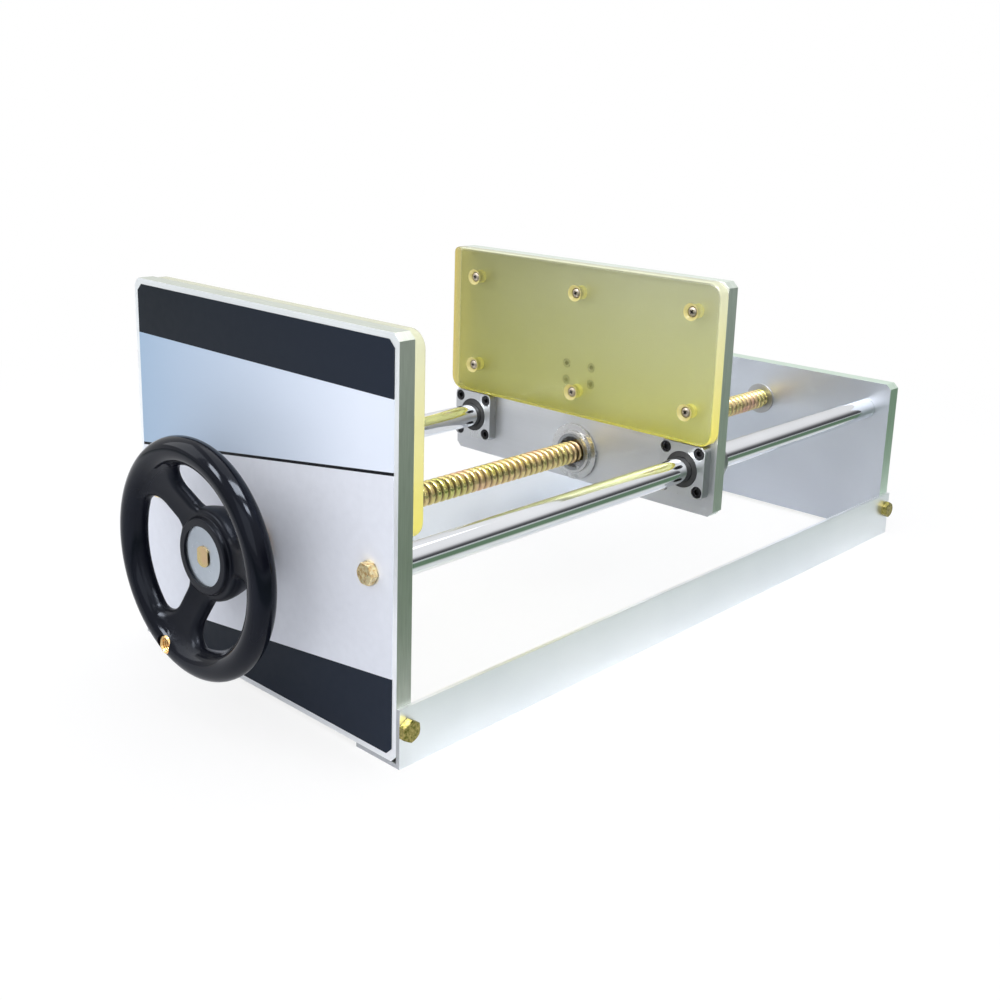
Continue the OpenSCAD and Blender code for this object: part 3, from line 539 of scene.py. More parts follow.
# Bushes and washer: a turned bronze bush in the front plate and a steel one in the back plate.
# Both are pressed in, and a steel washer in front of the first one takes the pull of the screw.
bush_bronze = worked_metal("turned_bronze", (176, 138, 84), (196, 158, 100), (0.28, 0.40), 700.0)
dark_steel = worked_metal("turned_steel", (150, 150, 150), (172, 172, 172), (0.26, 0.40), 600.0)
plain_zinc = worked_metal("plain_zinc", (176, 180, 184), (200, 203, 206), (0.25, 0.38), 350.0)
dress("front_bush", bush_bronze, edge=0.0004)
dress("rear_bush", dark_steel, edge=0.0003)
dress("thrust_washer", plain_zinc, edge=0.0003)

# Lead screw: a steel bar with a rolled right-hand thread of square form, yellow zinc plated.
# Its plain ends turn in the bushes, and two flats at the front end drive the handwheel's hub.
screw_low, screw_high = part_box("lead_screw")
screw_z, screw_r = (screw_low.z + screw_high.z) / 2, screw_high.x
root_r, journal_r, pitch, turn_steps = 0.0077, 0.007, 0.0067, 36
thread_gap, journal_lap, tip_len, tip_lap, tip_flat = 0.0003, 0.0005, 0.007, 0.0002, 0.00574
thread_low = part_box("shaft_collar")[1].y + thread_gap
thread_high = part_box("rear_bush")[0].y - thread_gap
thread_turns = math.ceil((thread_high - thread_low) / pitch) + 2
thread_form = [
    (0.00, root_r), (0.14, root_r + 0.0001), (0.21, root_r + 0.0006), (0.27, screw_r - 0.0005),
    (0.34, screw_r - 0.0001), (0.42, screw_r), (0.68, screw_r), (0.76, screw_r - 0.0001),
    (0.83, screw_r - 0.0005), (0.89, root_r + 0.0006), (0.95, root_r + 0.0001), (1.00, root_r),
]
turn_shape = bmesh.new()
form_points = [turn_shape.verts.new((r, part * pitch, 0.0)) for part, r in thread_form]
for near, far in zip(form_points, form_points[1:]):
    turn_shape.edges.new((near, far))
bmesh.ops.spin(
    turn_shape, geom=turn_shape.verts[:] + turn_shape.edges[:], cent=(0, 0, 0), axis=(0, 1, 0),
    dvec=(0, pitch / turn_steps, 0), angle=2 * math.pi, steps=turn_steps,
)
one_turn = mesh_of("one_turn", turn_shape)


def saw_off(shape, point, way):
    bmesh.ops.bisect_plane(
        shape, geom=shape.verts[:] + shape.edges[:] + shape.faces[:], dist=0.0000001,
        plane_co=point, plane_no=way, clear_outer=True,
    )


screw_shape = bmesh.new()
for turn in range(thread_turns):
    set_in(screw_shape, one_turn, Matrix.Translation((0, thread_low + (turn - 2) * pitch, screw_z)))
bmesh.ops.remove_doubles(screw_shape, verts=screw_shape.verts[:], dist=0.000005)
saw_off(screw_shape, (0, thread_low, 0), (0, -1, 0))
saw_off(screw_shape, (0, thread_high, 0), (0, 1, 0))
bmesh.ops.holes_fill(screw_shape, edges=screw_shape.edges[:], sides=0)
bmesh.ops.recalc_face_normals(screw_shape, faces=screw_shape.faces[:])
along_y = Matrix.Translation((0, 0, screw_z)) @ Matrix.Rotation(-math.pi / 2, 4, "X")
add_bar(screw_shape, along_y, journal_r, screw_low.y + tip_len, thread_low + journal_lap, 48)
add_bar(screw_shape, along_y, journal_r, thread_high - journal_lap, screw_high.y, 48)
tip_shape = bmesh.new()
add_bar(tip_shape, along_y, journal_r, screw_low.y, screw_low.y + tip_len + tip_lap, 48)
for way in (-1, 1):
    saw_off(tip_shape, (way * tip_flat, 0, 0), (way, 0, 0))
    bmesh.ops.holes_fill(tip_shape, edges=tip_shape.edges[:], sides=0)
set_in(screw_shape, mesh_of("screw_tip", tip_shape), Matrix.Identity(4))
screw_zinc, zinc_tree, zinc_shader = new_finish("screw_zinc", 1.0, 0.28)
zinc_patches = grain(zinc_tree, (40.0, 30.0, 40.0), 2.0)
# Painted shade: the thread's roots are painted a darker brown than its crests, and the plain journals get a
# mix of both.
zinc_reach = reach_from(zinc_tree, (0, 0, screw_z), (1, 0, 1))
zinc_height = spread_over(zinc_tree, zinc_reach, 0.0, 1.0, journal_r, screw_r)
groove_shade_share = colour_steps(
    zinc_tree, zinc_height,
    (0.0, grey(0.56)), (0.10, grey(0.56)), (0.22, grey(0.0)), (0.34, grey(0.0)), (1.0, grey(1.0)),
)
zinc_crest = colour_steps(
    zinc_tree, zinc_patches,
    (0.3, tone((196, 196, 118))), (0.5, tone((216, 197, 138))), (0.7, tone((216, 170, 148))),
)
zinc_groove_painted_shade = tint(zinc_tree, zinc_patches, (112, 98, 66), (140, 116, 92))
feed(zinc_tree, zinc_shader.inputs["Base Color"], laid_over(zinc_tree, groove_shade_share, zinc_groove_painted_shade, zinc_crest))
feed(zinc_tree, zinc_shader.inputs["Roughness"], spread_over(zinc_tree, zinc_patches, 0.20, 0.34))
make_piece("threaded_screw", screw_shape, [screw_zinc], "screw", "lead_screw")

# Handwheel: a black phenolic moulding, with a round rim, a dished web with three windows, and a hub.
# It is polished glossy, and a steel hub is moulded in; all its inside corners are rounded.
wheel_low, wheel_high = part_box("handwheel")
insert_low, insert_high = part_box("handle_insert")
rim_r, hub_front, hub_hole_r, disc_hole_r, disc_hole_back = 0.0090, 0.043, 0.01605, 0.02005, 0.03645
rim_ring = wheel_high.x - rim_r
rim_reach = y_front - wheel_low.y - rim_r
spoke_half, spoke_turn, window_far, window_near, window_corner = 0.010, 11.0, 0.062, 0.029, 0.012
insert_turn, insert_hole_r = math.radians(248), 0.0068
insert_x, insert_y = rim_ring * math.cos(insert_turn), rim_ring * math.sin(insert_turn)
wheel_place = Matrix.Translation((0, y_front, screw_z)) @ Matrix.Rotation(math.pi / 2, 4, "X")


def spun(outline, steps=96):
    """Turn an outline of radius and height about the upright axis."""
    shape = bmesh.new()
    points = [shape.verts.new((r, 0.0, h)) for r, h in outline]
    on_axis = outline[0][0] == 0 and outline[-1][0] == 0
    for near, far in zip(points, points[1:] + ([] if on_axis else points[:1])):
        shape.edges.new((near, far))
    bmesh.ops.spin(
        shape, geom=shape.verts[:] + shape.edges[:], cent=(0, 0, 0), axis=(0, 0, 1), angle=2 * math.pi,
        steps=steps, use_merge=True,
    )
    bmesh.ops.remove_doubles(shape, verts=shape.verts[:], dist=0.000001)
    bmesh.ops.dissolve_degenerate(shape, edges=shape.edges[:], dist=0.0000001)
    bmesh.ops.recalc_face_normals(shape, faces=shape.faces[:])
    return shape


def combine(holder, operation, *tools):
    """Join other objects to a piece, or cut them out of it."""
    for tool in tools:
        step = holder.modifiers.new(operation.lower(), "BOOLEAN")
        step.operation = operation
        step.solver = "EXACT"
        step.object = tool
    bpy.context.view_layer.update()
    mesh = bpy.data.meshes.new_from_object(holder.evaluated_get(bpy.context.evaluated_depsgraph_get()))
    for loose in (holder, *tools):
        bpy.data.objects.remove(loose)
    return mesh


def window_arc(middle, radius, start, stop, steps):
    turns = [math.radians(start + (stop - start) * i / steps) for i in range(1, steps + 1)]
    return [(middle[0] + radius * math.cos(a), middle[1] + radius * math.sin(a)) for a in turns]


far_r, near_r = window_far - window_corner, window_near + window_corner
corner_side = spoke_half + window_corner
far_turn = 60 - math.degrees(math.asin(corner_side / far_r))
near_turn = 60 - math.degrees(math.asin(corner_side / near_r))
far_mid = window_arc((0, 0), far_r, 0, far_turn, 1)[0]
near_mid = window_arc((0, 0), near_r, 0, near_turn, 1)[0]


def mirrored(upper, tip):
    return upper + [(x, -y) for x, y in upper[-2::-1]] + [(tip, 0.0)]


def window_line(wider):
    """The outline of a window, wider on all sides by a given amount."""
    upper = window_arc((0, 0), window_far + wider, 0, far_turn, 10)
    upper += window_arc(far_mid, window_corner + wider, far_turn, 150, 12)
    upper += window_arc(near_mid, window_corner + wider, 150, 180 + near_turn, 8)
    upper += window_arc((0, 0), window_near - wider, near_turn, 0, 8)
    return mirrored(upper, window_far + wider)


def sector_line(outer, inner):
    """The outline of the third of the web round a window, with as many points."""
    upper = window_arc((0, 0), outer, 0, 60, 16)
    for i in range(1, 13):
        upper += window_arc((0, 0), outer + (inner - outer) * i / 12, 0, 60, 1)
    upper += window_arc((0, 0), inner, 60, 0, 10)
    return mirrored(upper, outer)


def between(near_line, far_line, share):
    pairs = zip(near_line, far_line)
    return [(ax + (bx - ax) * share, ay + (by - ay) * share) for (ax, ay), (bx, by) in pairs]


web_from, web_inner, skin_gap = 0.024, 0.0235, 0.00015
front_foot, front_slope, front_bend, front_bend_from, front_skin_from = 0.0382, 0.3306, 55.2, 0.057, 0.0625
rear_foot, rear_slope, rear_bend, rear_bend_from, rear_skin_from = 0.0275, 0.378, 147.0, 0.062, 0.0655
front_edge, rear_edge, edge_round, edge_shift = 0.0652, 0.0675, 0.0040, 0.0015


def rim_skin(r, way):
    return rim_reach + way * math.sqrt(max(rim_r**2 - (rim_ring - r) ** 2, 0.0))


def web_front(r):
    dished = front_foot + front_slope * (r - web_from) + front_bend * max(r - front_bend_from, 0.0) ** 2
    return min(dished, rim_skin(r, 1) - skin_gap) if r > front_skin_from else dished


def web_rear(r):
    dished = rear_foot + rear_slope * (r - web_from) - rear_bend * max(r - rear_bend_from, 0.0) ** 2
    return max(dished, rim_skin(r, -1) + skin_gap) if r > rear_skin_from else dished


face_line = window_line(edge_round - edge_shift)
front_line, rear_line = sector_line(front_edge, web_inner), sector_line(rear_edge, web_inner)
layers = [(between(front_line, face_line, i / 5), 1.0) for i in range(5)]
for i in range(9):
    bend = math.radians(90 - 22.5 * i)
    layers.append((window_line(edge_round * (1 - math.cos(bend)) - edge_shift), math.sin(bend)))
layers += [(between(face_line, rear_line, i / 5), -1.0) for i in range(1, 6)]
web_shape = bmesh.new()
for third in range(3):
    spin_by = Matrix.Rotation(math.radians(spoke_turn + 60 + 120 * third), 4, "Z")
    last = None
    for line, level in layers:
        loop = []
        for x, y in line:
            r = math.hypot(x, y)
            middle, half = (web_front(r) + web_rear(r)) / 2, (web_front(r) - web_rear(r)) / 2
            loop.append(web_shape.verts.new(spin_by @ Vector((x, y, middle + level * half))))
        ring_edges = [web_shape.edges.new((near, far)) for near, far in zip(loop, loop[1:] + loop[:1])]
        if last:
            bmesh.ops.bridge_loops(web_shape, edges=last + ring_edges)
        last = ring_edges
bmesh.ops.remove_doubles(web_shape, verts=web_shape.verts[:], dist=0.00001)
open_edges = [e for e in web_shape.edges if e.is_boundary]
for outer in (True, False):
    rim_edges = [e for e in open_edges if (math.hypot(*e.verts[0].co.xy) > 0.05) == outer]
    bmesh.ops.bridge_loops(web_shape, edges=rim_edges)
bmesh.ops.recalc_face_normals(web_shape, faces=web_shape.faces[:])
rim_shape = spun([
    (rim_ring + rim_r * math.cos(math.radians(9 * i)), rim_reach + rim_r * math.sin(math.radians(9 * i)))
    for i in range(40)
], 160)
hub_shape = spun([
    (0.0, 0.0080), (0.0240, 0.0080), (0.0251, 0.0095), (0.0258, 0.0120), (0.0276, 0.0180),
    (0.0294, 0.0240), (0.0306, 0.0285), (0.0311, 0.0315), (0.0313, 0.0345), (0.0310, 0.0368),
    (0.0303, 0.0385), (0.0292, 0.0393), (0.0278, 0.0394), (0.0268, 0.0394), (0.0261, 0.0397),
    (0.0257, 0.0403), (0.0256, 0.0412), (0.0254, 0.0421), (0.0250, 0.0427), (0.0243, hub_front),
    (0.0, hub_front),
], 120)
web = loose_object("web", mesh_of("web", web_shape))
rim = loose_object("rim", mesh_of("rim", rim_shape))
hub = loose_object("hub", mesh_of("hub", hub_shape))
wheel_blank = loose_object("wheel_blank", combine(web, "UNION", rim, hub))
hub_bore_shape = spun([
    (0.0, 0.0), (hub_hole_r, 0.0), (hub_hole_r, disc_hole_back), (disc_hole_r, disc_hole_back),
    (disc_hole_r, 0.05), (0.0, 0.05),
])
insert_bottom = y_front - insert_high.y
insert_bore_shape = spun([
    (0.0, insert_bottom), (insert_hole_r, insert_bottom), (insert_hole_r, 0.065), (0.0, 0.065),
], 64)
bmesh.ops.translate(insert_bore_shape, verts=insert_bore_shape.verts[:], vec=(insert_x, insert_y, 0))
hub_bore = loose_object("hub_bore", mesh_of("hub_bore", hub_bore_shape))
insert_bore = loose_object("insert_bore", mesh_of("insert_bore", insert_bore_shape))
wheel_shape = bmesh.new()
set_in(wheel_shape, combine(wheel_blank, "DIFFERENCE", hub_bore, insert_bore), wheel_place)
phenolic, wheel_tree, wheel_shader = new_finish("black_phenolic", 0.0, 0.12)
wheel_shader.inputs["Specular IOR Level"].default_value = 0.16
wheel_shader.inputs["Specular Tint"].default_value = (0.78, 0.86, 1.0, 1.0)
wheel_cloud = grain(wheel_tree, 30.0, 5.0)
web_rough = spread_over(wheel_tree, wheel_cloud, 0.30, 0.40)
rim_rough = spread_over(wheel_tree, wheel_cloud, 0.08, 0.14)
wheel_reach = reach_from(wheel_tree, (0, 0, screw_z), (1, 0, 1))
wheel_polish = spread_over(wheel_tree, wheel_reach, web_rough, rim_rough, 0.056, 0.066, "SMOOTHSTEP")
feed(wheel_tree, wheel_shader.inputs["Base Color"], tint(wheel_tree, wheel_cloud, (11, 12, 19), (17, 19, 28)))
feed(wheel_tree, wheel_shader.inputs["Roughness"], wheel_polish)
make_piece("moulded_wheel", wheel_shape, [phenolic], "screw", "handwheel")

# Steel hub, set screws and collar: turned parts that lock the wheel to the screw, plated or blackened.
# The hub's disc shows in the wheel's front, and the collar sits behind the front plate.
hub_zinc = worked_metal("turned_zinc", (146, 153, 162), (172, 180, 188), (0.26, 0.40), 260.0)
black_oxide = worked_metal("black_oxide", (40, 40, 42), (58, 58, 60), (0.30, 0.45), 300.0)
dress("wheel_hub", hub_zinc, edge=0.0003)
dress("hub_set_screw", black_oxide, edge=0.0003)
dress("shaft_collar", plain_zinc, edge=0.0004)
dress("collar_set_screw", black_oxide, edge=0.0003)

# Handle insert: a turned brass bush moulded into the rim, with a thread for a crank handle.
# The thread shows as rings down its hole.
insert_brass = worked_metal("turned_brass", (208, 164, 100), (228, 192, 134), (0.20, 0.30), 500.0)
insert_face, insert_r = y_front - insert_low.y, (insert_high.x - insert_low.x) / 2
bore_r, bore_chamfer, groove_count, groove_pitch, groove_deep = 0.00425, 0.0009, 7, 0.0015, 0.0007
insert_line = [
    (bore_r, insert_bottom), (insert_r, insert_bottom), (insert_r, insert_face - 0.0010),
    (insert_r - 0.0008, insert_face), (bore_r + bore_chamfer, insert_face),
]
for groove in range(groove_count):
    top = insert_face - bore_chamfer - groove_pitch * groove
    insert_line += [(bore_r, top), (bore_r, top - 0.0003), (bore_r + groove_deep, top - 0.0009)]
insert_shape = bmesh.new()
insert_place = wheel_place @ Matrix.Translation((insert_x, insert_y, 0))
set_in(insert_shape, mesh_of("insert", spun(insert_line, 64)), insert_place)
make_piece("threaded_insert", insert_shape, [insert_brass], "screw", "handle_insert")

# Jaw plate: a milled aluminium slab that slides on the rods, brushed, with the corners cut off.
# The bearings, the pad and the nut block are screwed to it, and its lower part is painted darker as painted
# shade.
jaw_metal = worked_metal(
    "brushed_jaw", (172, 174, 178), (188, 190, 193), (0.40, 0.50), brushed_across, depth=0.0000005
)
jaw_tree = jaw_metal.node_tree
jaw_base = jaw_tree.nodes["Principled BSDF"].inputs["Base Color"]
jaw_painted_shade_tone = jaw_base.links[0].from_socket
# Painted shade: the plate keeps its darker tone low down and turns lighter above, a painted shade on its
# lower part.
jaw_shade_fade = spread_over(jaw_tree, place_on(jaw_tree, "Object", "Z"), 0.0, 1.0, 0.125, 0.165, "SMOOTHSTEP")
feed(jaw_tree, jaw_base, laid_over(jaw_tree, jaw_shade_fade, jaw_painted_shade_tone, tone((226, 228, 230))))
# Painted reflection: the jaw's narrow sides take a greenish sawn tone, partly the sawn face and partly a
# painted reflection of green surroundings.
sawn_edges_painted_shade_and_reflection(jaw_metal, (190, 198, 190), (204, 212, 204))
dress("jaw_plate", jaw_metal, edge=0.0005)

# Linear bearings: ground steel shells with a square flange, a resin ball cage and black rubber seals.
# Four black socket head screws sink into each flange.


def moulded_finish(name, dark, light, rough, cloud, depth=0.0):
    """A moulded or dipped plastic, clouded in tone and shine."""
    finish, tree, shader = new_finish(name, 0.0, sum(rough) / 2)
    patches = grain(tree, cloud)
    feed(tree, shader.inputs["Base Color"], tint(tree, patches, dark, light))
    feed(tree, shader.inputs["Roughness"], spread_over(tree, patches, *rough))
    if depth:
        raise_grain(tree, shader, patches, depth)
    return finish


bearing_steel = worked_metal(
    "ground_steel", (170, 172, 174), (188, 190, 192), (0.26, 0.38), (300.0, 300.0, 30.0)
)
cage_resin = moulded_finish("cage_resin", (210, 206, 190), (222, 219, 206), (0.5, 0.5), 90.0)
seal_rubber = moulded_finish("seal_rubber", (22, 22, 23), (34, 34, 35), (0.5, 0.7), 160.0)
for side_name in ("left", "right"):
    dress(side_name + "_bearing", bearing_steel, edge=0.0004)
    dress(side_name + "_cage", cage_resin, edge=0.0003)
    dress(side_name + "_seals", seal_rubber, edge=0.0006)
dress("flange_screws", black_oxide, edge=0.0003)

# Screw guide: a turned and plated steel ring, pressed into the jaw round the screw.
# A split ring of spring steel snaps into its mouth.
guide_steel = worked_metal("plated_ring", (168, 168, 168), (188, 188, 188), (0.20, 0.30), 400.0)
spring_steel = worked_metal("spring_steel", (120, 122, 124), (146, 148, 150), (0.28, 0.40), 400.0)
dress("screw_guide", guide_steel, edge=0.0005)
dress("snap_ring", spring_steel, edge=0.0002)

# Jaw pads: thick clear-yellow cast urethane sheets with rounded corners and bevelled faces.
# Six screws in sunk pockets hold each one, and the metal behind shows through a little.
# A bright yellow sleeve behind each pocket is a painted halo of light round each screw.
pad_low, pad_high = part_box("fixed_pad")
jaw_low, jaw_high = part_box("jaw_plate")
pad_t, pad_foot, pad_top, pad_bevel, pad_corner = pad_high.y - pad_low.y, pad_low.z, pad_high.z, 0.003, 0.012
pad_gap, jaw_left_corner = 0.0001, 0.005
screw_side, screw_inset, screw_drop = 0.114, 0.0245, 0.0045
pocket_r, pocket_deep, seat_r, seat_from, shank_hole_r = 0.0068, 0.0046, 0.0043, 0.0020, 0.00225
halo_sleeve_r, halo_sleeve_deep, past_back, past_face = 0.0056, 0.0056, 0.012, 0.004
screw_columns = (-screw_side, 0.0, screw_side)
pad_holes = [(x, pad_top - screw_inset) for x in screw_columns]
pad_holes += [(x, pad_foot + screw_inset - (0 if x else screw_drop)) for x in screw_columns]
urethane, pad_tree, pad_shader = new_finish("clear_urethane", 0.0, 0.5)
pad_shader.inputs["Specular IOR Level"].default_value = 0.0
pad_facing = worked_out(pad_tree, "ABSOLUTE", place_on(pad_tree, "Normal", "Y"))
pad_side = spread_over(pad_tree, pad_facing, 1.0, 0.0, 0.55, 0.95, "SMOOTHSTEP")
pad_height = spread_over(pad_tree, place_on(pad_tree, "Object", "Z"), 0.0, 1.0, pad_foot, pad_top)
pad_across = spread_over(pad_tree, place_on(pad_tree, "Object", "X"), 0.0, 1.0, -plate_half, plate_half)
pad_shut = spread_over(pad_tree, pad_across, 0.0, 1.0, 0.0, 0.03)
pad_glow_rim = worked_out(pad_tree, "MULTIPLY", pad_side, pad_shut)
# Painted light: the face is painted darker on the left, lighter on the right and paler towards the top, and
# the rim a brighter yellow as a painted glow of light through the edges.
pad_left_painted_light = tint(pad_tree, pad_height, (188, 186, 56), (170, 167, 112), 0.0, 1.0)
pad_right_painted_light = tint(pad_tree, pad_height, (232, 232, 88), (230, 232, 212), 0.0, 1.0)
pad_edge_painted_glow = tint(pad_tree, pad_height, (236, 222, 100), (220, 221, 190), 0.0, 1.0)
pad_face_painted_light = laid_over(pad_tree, pad_across, pad_left_painted_light, pad_right_painted_light)
feed(pad_tree, pad_shader.inputs["Base Color"], laid_over(pad_tree, pad_glow_rim, pad_face_painted_light, pad_edge_painted_glow))
pad_clear = pad_tree.nodes.new("ShaderNodeBsdfTransparent")
# Painted light: the clear tint is paler at the left edge and lighter towards the right.
pad_clear_painted_light = colour_steps(
    pad_tree, pad_across,
    (0.0, tone((236, 226, 176))), (0.03, tone((212, 212, 186))), (1.0, tone((241, 241, 228))),
)
feed(pad_tree, pad_clear.inputs["Color"], pad_clear_painted_light)
pad_depth = spread_over(pad_tree, pad_shut, 0.92, 0.74, 0.0, 1.0)
pad_pass = spread_over(pad_tree, pad_glow_rim, pad_depth, 0.06, 0.0, 1.0)
pad_body = mixed(pad_tree, pad_pass, pad_shader.outputs[0], pad_clear.outputs[0])
pad_gloss = pad_tree.nodes.new("ShaderNodeBsdfGlossy")
pad_cloud = grain(pad_tree, 14.0, 3.0)
feed(pad_tree, pad_gloss.inputs["Roughness"], spread_over(pad_tree, pad_cloud, 0.16, 0.22))
pad_slant = pad_tree.nodes.new("ShaderNodeLayerWeight")
pad_rise = worked_out(pad_tree, "POWER", pad_slant.outputs["Facing"], 5.0)
pad_sheen = worked_out(pad_tree, "MULTIPLY_ADD", pad_rise, 0.97, 0.03)
pad_skin = mixed(pad_tree, pad_sheen, pad_body, pad_gloss.outputs[0])
pad_tree.links.new(pad_skin, pad_tree.nodes["Material Output"].inputs["Surface"])
# Painted light: the pocket walls are painted pale yellow as the pale ring of light round each screw, and the
# sleeve walls bright yellow as a painted halo.
pocket_ring_painted_light = moulded_finish("pocket_ring_painted_light", (208, 195, 118), (218, 206, 138), (0.35, 0.35), 120.0)
painted_halo_sleeve = moulded_finish("painted_halo_sleeve", (250, 238, 128), (252, 244, 150), (0.5, 0.5), 120.0)
clear_back = bpy.data.materials.new("clear_back")
clear_back.use_nodes = True
clear_tree = clear_back.node_tree
clear_tree.nodes.remove(clear_tree.nodes["Principled BSDF"])
clear_pass = clear_tree.nodes.new("ShaderNodeBsdfTransparent")
clear_tone = tint(clear_tree, grain(clear_tree, 14.0, 3.0), (248, 248, 228), (252, 252, 238))
feed(clear_tree, clear_pass.inputs["Color"], clear_tone)
clear_tree.links.new(clear_pass.outputs[0], clear_tree.nodes["Material Output"].inputs["Surface"])
pad_finishes = [urethane, pocket_ring_painted_light, clear_back, painted_halo_sleeve]
one_pocket = mesh_of("one_pocket", spun([
    (0.0, -past_back), (halo_sleeve_r, -past_back), (halo_sleeve_r, -halo_sleeve_deep), (shank_hole_r, -halo_sleeve_deep),
    (shank_hole_r, -pocket_deep), (seat_r, -pocket_deep), (seat_r, -seat_from), (pocket_r, 0.0),
    (pocket_r, past_face), (0.0, past_face),
], 40))


def bevelled(shape, edges, width, segments):
    bmesh.ops.bevel(
        shape, geom=edges, offset=width, segments=segments, profile=0.5, affect="EDGES", material=-1
    )


def cast_pad(name, half, back, way, left_corner):
    """Cast a pad that lies with its back on a plate and looks forwards or backwards along y."""
    shape = bmesh.new()
    bmesh.ops.create_cube(shape, size=1.0)
    bmesh.ops.scale(shape, verts=shape.verts[:], vec=(2 * half, pad_t - pad_gap, pad_top - pad_foot))
    middle = (0, back + way * (pad_t + pad_gap) / 2, (pad_top + pad_foot) / 2)
    bmesh.ops.translate(shape, verts=shape.verts[:], vec=middle)
    uprights = [e for e in shape.edges if abs(e.verts[0].co.y - e.verts[1].co.y) > pad_t / 2]
    tight = [e for e in uprights if e.verts[0].co.x < 0 and e.verts[0].co.z > middle[2]]
    wide = [e for e in uprights if e not in tight]
    bevelled(shape, tight, left_corner, 8)
    bevelled(shape, wide, pad_corner, 8)
    face = max(shape.faces, key=lambda f: way * f.calc_center_median().y)
    bevelled(shape, list(face.edges), pad_bevel, 3)
    pocket_shape = bmesh.new()
    for x, z in pad_holes:
        down = Matrix.Translation((x, back + way * pad_t, z)) @ Matrix.Rotation(-way * math.pi / 2, 4, "X")
        set_in(pocket_shape, one_pocket, down)
    blank = loose_object(name + "_blank", mesh_of(name + "_blank", shape))
    pockets = loose_object(name + "_pockets", mesh_of(name + "_pockets", pocket_shape))
    whole = bmesh.new()
    set_in(whole, combine(blank, "DIFFERENCE", pockets), Matrix.Identity(4))
    for face in whole.faces:
        middle = face.calc_center_median()
        from_back = abs(middle.y - back)
        from_hole = min(math.hypot(middle.x - x, middle.z - z) for x, z in pad_holes)
        if from_back < 2 * pad_gap:
            face.material_index = pad_finishes.index(clear_back)
        elif from_hole < pocket_r and len(face.verts) < 8:
            # Sleeve walls take the painted halo, and pocket walls the painted pale ring.
            in_halo_sleeve = pad_t - from_back > pocket_deep + 0.0005
            face.material_index = pad_finishes.index(painted_halo_sleeve if in_halo_sleeve else pocket_ring_painted_light)
        else:
            face.material_index = 0
    return whole


front_pad_shape = cast_pad("front_urethane", plate_half, y_inner, 1, pad_corner)
make_piece("front_urethane", front_pad_shape, pad_finishes, "frame", "fixed_pad")
jaw_pad_shape = cast_pad("jaw_urethane", jaw_high.x, jaw_low.y, -1, jaw_left_corner)
make_piece("jaw_urethane", jaw_pad_shape, pad_finishes, "jaw", "jaw_pad")

# Pad screws: zinc plated steel pan heads with a cross recess, six in each pad, sunk in their pockets.
# They hold the pads against the jaw plate and the front plate.
recess_long, recess_wide, recess_tall, recess_mid, recess_reach = 0.0052, 0.0013, 0.0030, 0.0036, 0.0027
head_outline = [
    (0.0, 0.0034), (0.0020, 0.0033), (0.0032, 0.0030), (0.0039, 0.0024), (0.0041, 0.0018), (0.0041, 0.0),
    (0.0020, 0.0), (0.0020, -0.0134), (0.0, -0.0134),
]
blades = []
for turn in (0, math.pi / 2):
    blade_shape = bmesh.new()
    bmesh.ops.create_cube(blade_shape, size=1.0)
    bmesh.ops.scale(blade_shape, verts=blade_shape.verts[:], vec=(recess_long, recess_wide, recess_tall))
    bmesh.ops.scale(blade_shape, verts=[v for v in blade_shape.verts if v.co.z < 0], vec=(0.45, 0.7, 1.0))
    blade_place = Matrix.Translation((0, 0, recess_mid)) @ Matrix.Rotation(turn, 4, "Z")
    bmesh.ops.transform(blade_shape, verts=blade_shape.verts[:], matrix=blade_place)
    blades.append(loose_object("blade", mesh_of("blade", blade_shape)))
head_blank = loose_object("pan_head", mesh_of("pan_head", spun(head_outline, 40)))
pan_head = combine(head_blank, "DIFFERENCE", *blades)
# Painted shade: the faces inside the cross recess take the black finish, as painted shade in the recess.
for face in pan_head.polygons:
    in_shaded_recess = face.center.xy.length < recess_reach and 0 < face.center.z < 0.0031
    face.material_index = int(in_shaded_recess)
screw_grey = worked_metal("dull_zinc", (158, 148, 136), (180, 172, 160), (0.30, 0.42), 300.0)
for name, back, way, body, stands_for in (
    ("front_pad_screw_set", y_inner, 1, "frame", "fixed_pad_screws"),
    ("jaw_pad_screw_set", jaw_low.y, -1, "jaw", "jaw_pad_screws"),
):
    whole = bmesh.new()
    for i, (x, z) in enumerate(pad_holes):
        place = Matrix.Translation((x, back + way * (pad_t - pocket_deep), z))
        turned = Matrix.Rotation(-way * math.pi / 2, 4, "X") @ Matrix.Rotation(0.5 * i, 4, "Z")
        set_in(whole, pan_head, place @ turned)
    make_piece(name, whole, [screw_grey, black_oxide], body, stands_for)

# Nut block: a milled steel block and lid behind the jaw, which guide the half nut over the screw.
# Long socket screws hold it on the jaw, and a coil spring under the lid presses the half nut down.
block_steel = worked_metal(
    "milled_steel", (168, 170, 174), (188, 190, 194), (0.28, 0.42), (60.0, 300.0, 300.0)
)
for name in ("nut_block", "block_cap"):
    dress(name, block_steel, edge=0.0006)
dress("block_screws", black_oxide, edge=0.0003)
dress("cap_screws", plain_zinc, edge=0.0003)
spring_low, spring_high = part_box("nut_spring")
wire_r, coil_turns, coil_steps = 0.00095, 5, 40
coil_r = (spring_high.x - spring_low.x) / 2 - wire_r
coil_rise = (spring_high.z - spring_low.z - 2 * wire_r) / (coil_turns * coil_steps)
wire_place = Matrix.Translation((coil_r, 0, 0)) @ Matrix.Rotation(math.pi / 2, 4, "X")
coil_shape = bmesh.new()
bmesh.ops.create_circle(coil_shape, segments=12, radius=wire_r, matrix=wire_place)
bmesh.ops.spin(
    coil_shape, geom=coil_shape.verts[:] + coil_shape.edges[:], cent=(0, 0, 0), axis=(0, 0, 1),
    dvec=(0, 0, coil_rise), angle=2 * math.pi * coil_turns, steps=coil_turns * coil_steps,
)
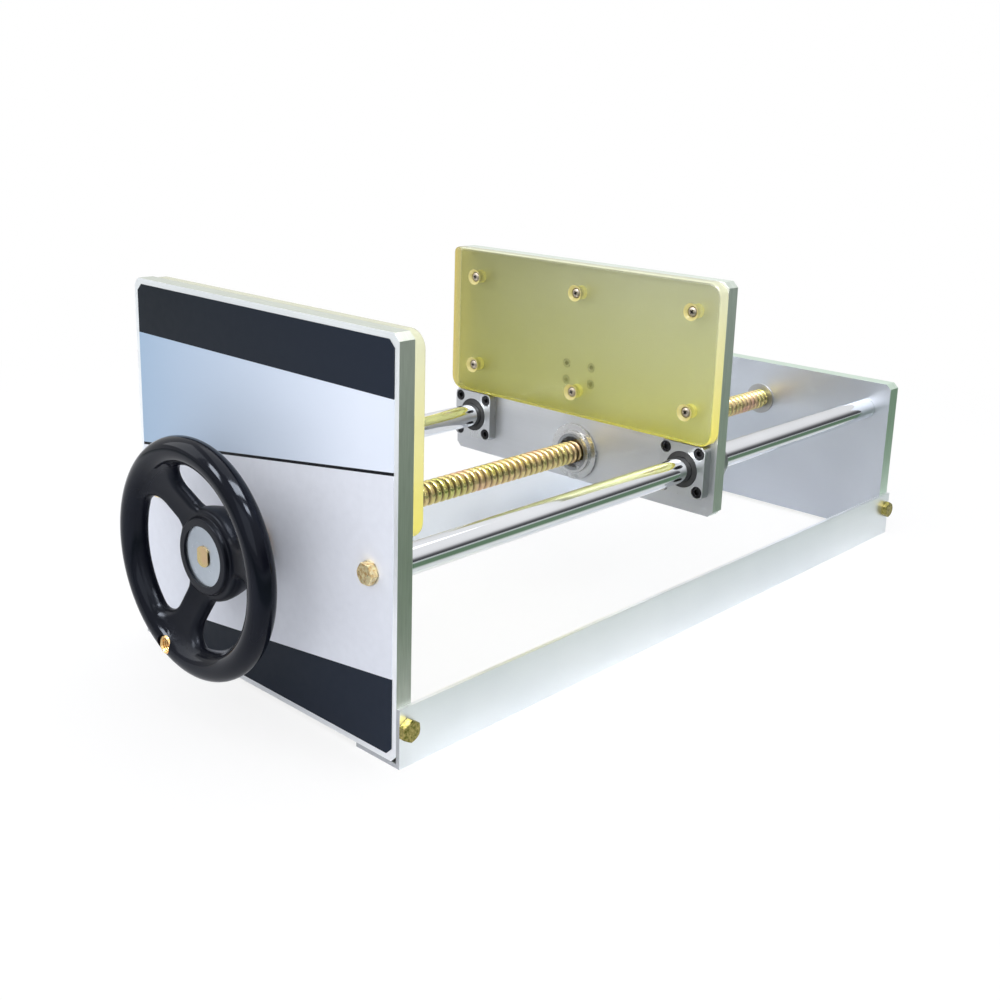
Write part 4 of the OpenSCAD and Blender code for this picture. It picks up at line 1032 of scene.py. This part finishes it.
bmesh.ops.holes_fill(coil_shape, edges=coil_shape.edges[:], sides=0)
bmesh.ops.recalc_face_normals(coil_shape, faces=coil_shape.faces[:])
spring_foot = (spring_low + spring_high) / 2
spring_foot.z = spring_low.z + wire_r
bmesh.ops.translate(coil_shape, verts=coil_shape.verts[:], vec=spring_foot)
coil = make_piece("coil_spring", coil_shape, [spring_steel], "jaw", "nut_spring")
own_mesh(coil)

# Half nut and lift rod: a bronze half nut that drops on the screw inside the block.
# A plated steel rod is screwed into it, and the nut on top of the rod is what the lever raises.
dress("half_nut", bush_bronze, edge=0.0003)
dress("lift_rod", bolt_zinc, edge=0.0003)
dress("lift_nut", bolt_zinc, edge=0.0004)

# Release: a milled bracket with two ears on the back of the jaw, and a steel lever that turns on a pin.
# Countersunk screws hold the bracket from the front, under the pad.
bracket_low, bracket_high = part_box("bracket_screws")
recess_r, recess_deep, head_inset = 0.0017, 0.0034, 0.004
bracket_form = spun([
    (0.0, -recess_deep), (recess_r, -recess_deep), (0.0020, -0.0001), (0.0039, -0.0001),
    (0.0040, -0.0003), (0.0022, -0.0036), (0.0022, -0.0179), (0.0, -0.0179),
], 32)
# Painted shade: the bottom of each deep recess takes the black finish, as painted shade at the end of the
# hole.
bracket_form.normal_update()
for face in bracket_form.faces:
    middle = face.calc_center_median()
    at_shaded_bottom = middle.xy.length < recess_r and abs(middle.z + recess_deep) < 0.0001
    face.material_index = int(at_shaded_bottom)
bracket_screw = mesh_of("bracket_screw", bracket_form)
bracket_shape = bmesh.new()
for x in (bracket_low.x + head_inset, bracket_high.x - head_inset):
    for z in (bracket_low.z + head_inset, bracket_high.z - head_inset):
        place = Matrix.Translation((x, jaw_low.y, z)) @ Matrix.Rotation(math.pi / 2, 4, "X")
        set_in(bracket_shape, bracket_screw, place)
bracket_finishes = [plain_zinc, black_oxide]
make_piece("bracket_screw_set", bracket_shape, bracket_finishes, "jaw", "bracket_screws")
dress("release_bracket", block_steel, edge=0.0006)
dress("pivot_pin", spring_steel, edge=0.0003)
dress("release_lever", block_steel, edge=0.0005)

# Lever grip: black vinyl, thick and rounded, with a slight grain.
# The lever's upper end is dipped in it while it is hot and soft.
grip_low, grip_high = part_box("lever_grip")
grip_shape = bmesh.new()
bmesh.ops.create_cube(grip_shape, size=1.0)
bmesh.ops.scale(grip_shape, verts=grip_shape.verts[:], vec=grip_high - grip_low)
bmesh.ops.translate(grip_shape, verts=grip_shape.verts[:], vec=(grip_high + grip_low) / 2)
bevelled(grip_shape, grip_shape.edges[:], 0.0035, 5)
grip_vinyl = moulded_finish("dipped_vinyl", (24, 24, 26), (36, 36, 38), (0.36, 0.5), 220.0, depth=0.0001)
make_piece("dipped_grip", grip_shape, [grip_vinyl], "lever", "lever_grip", edge=0.0001)
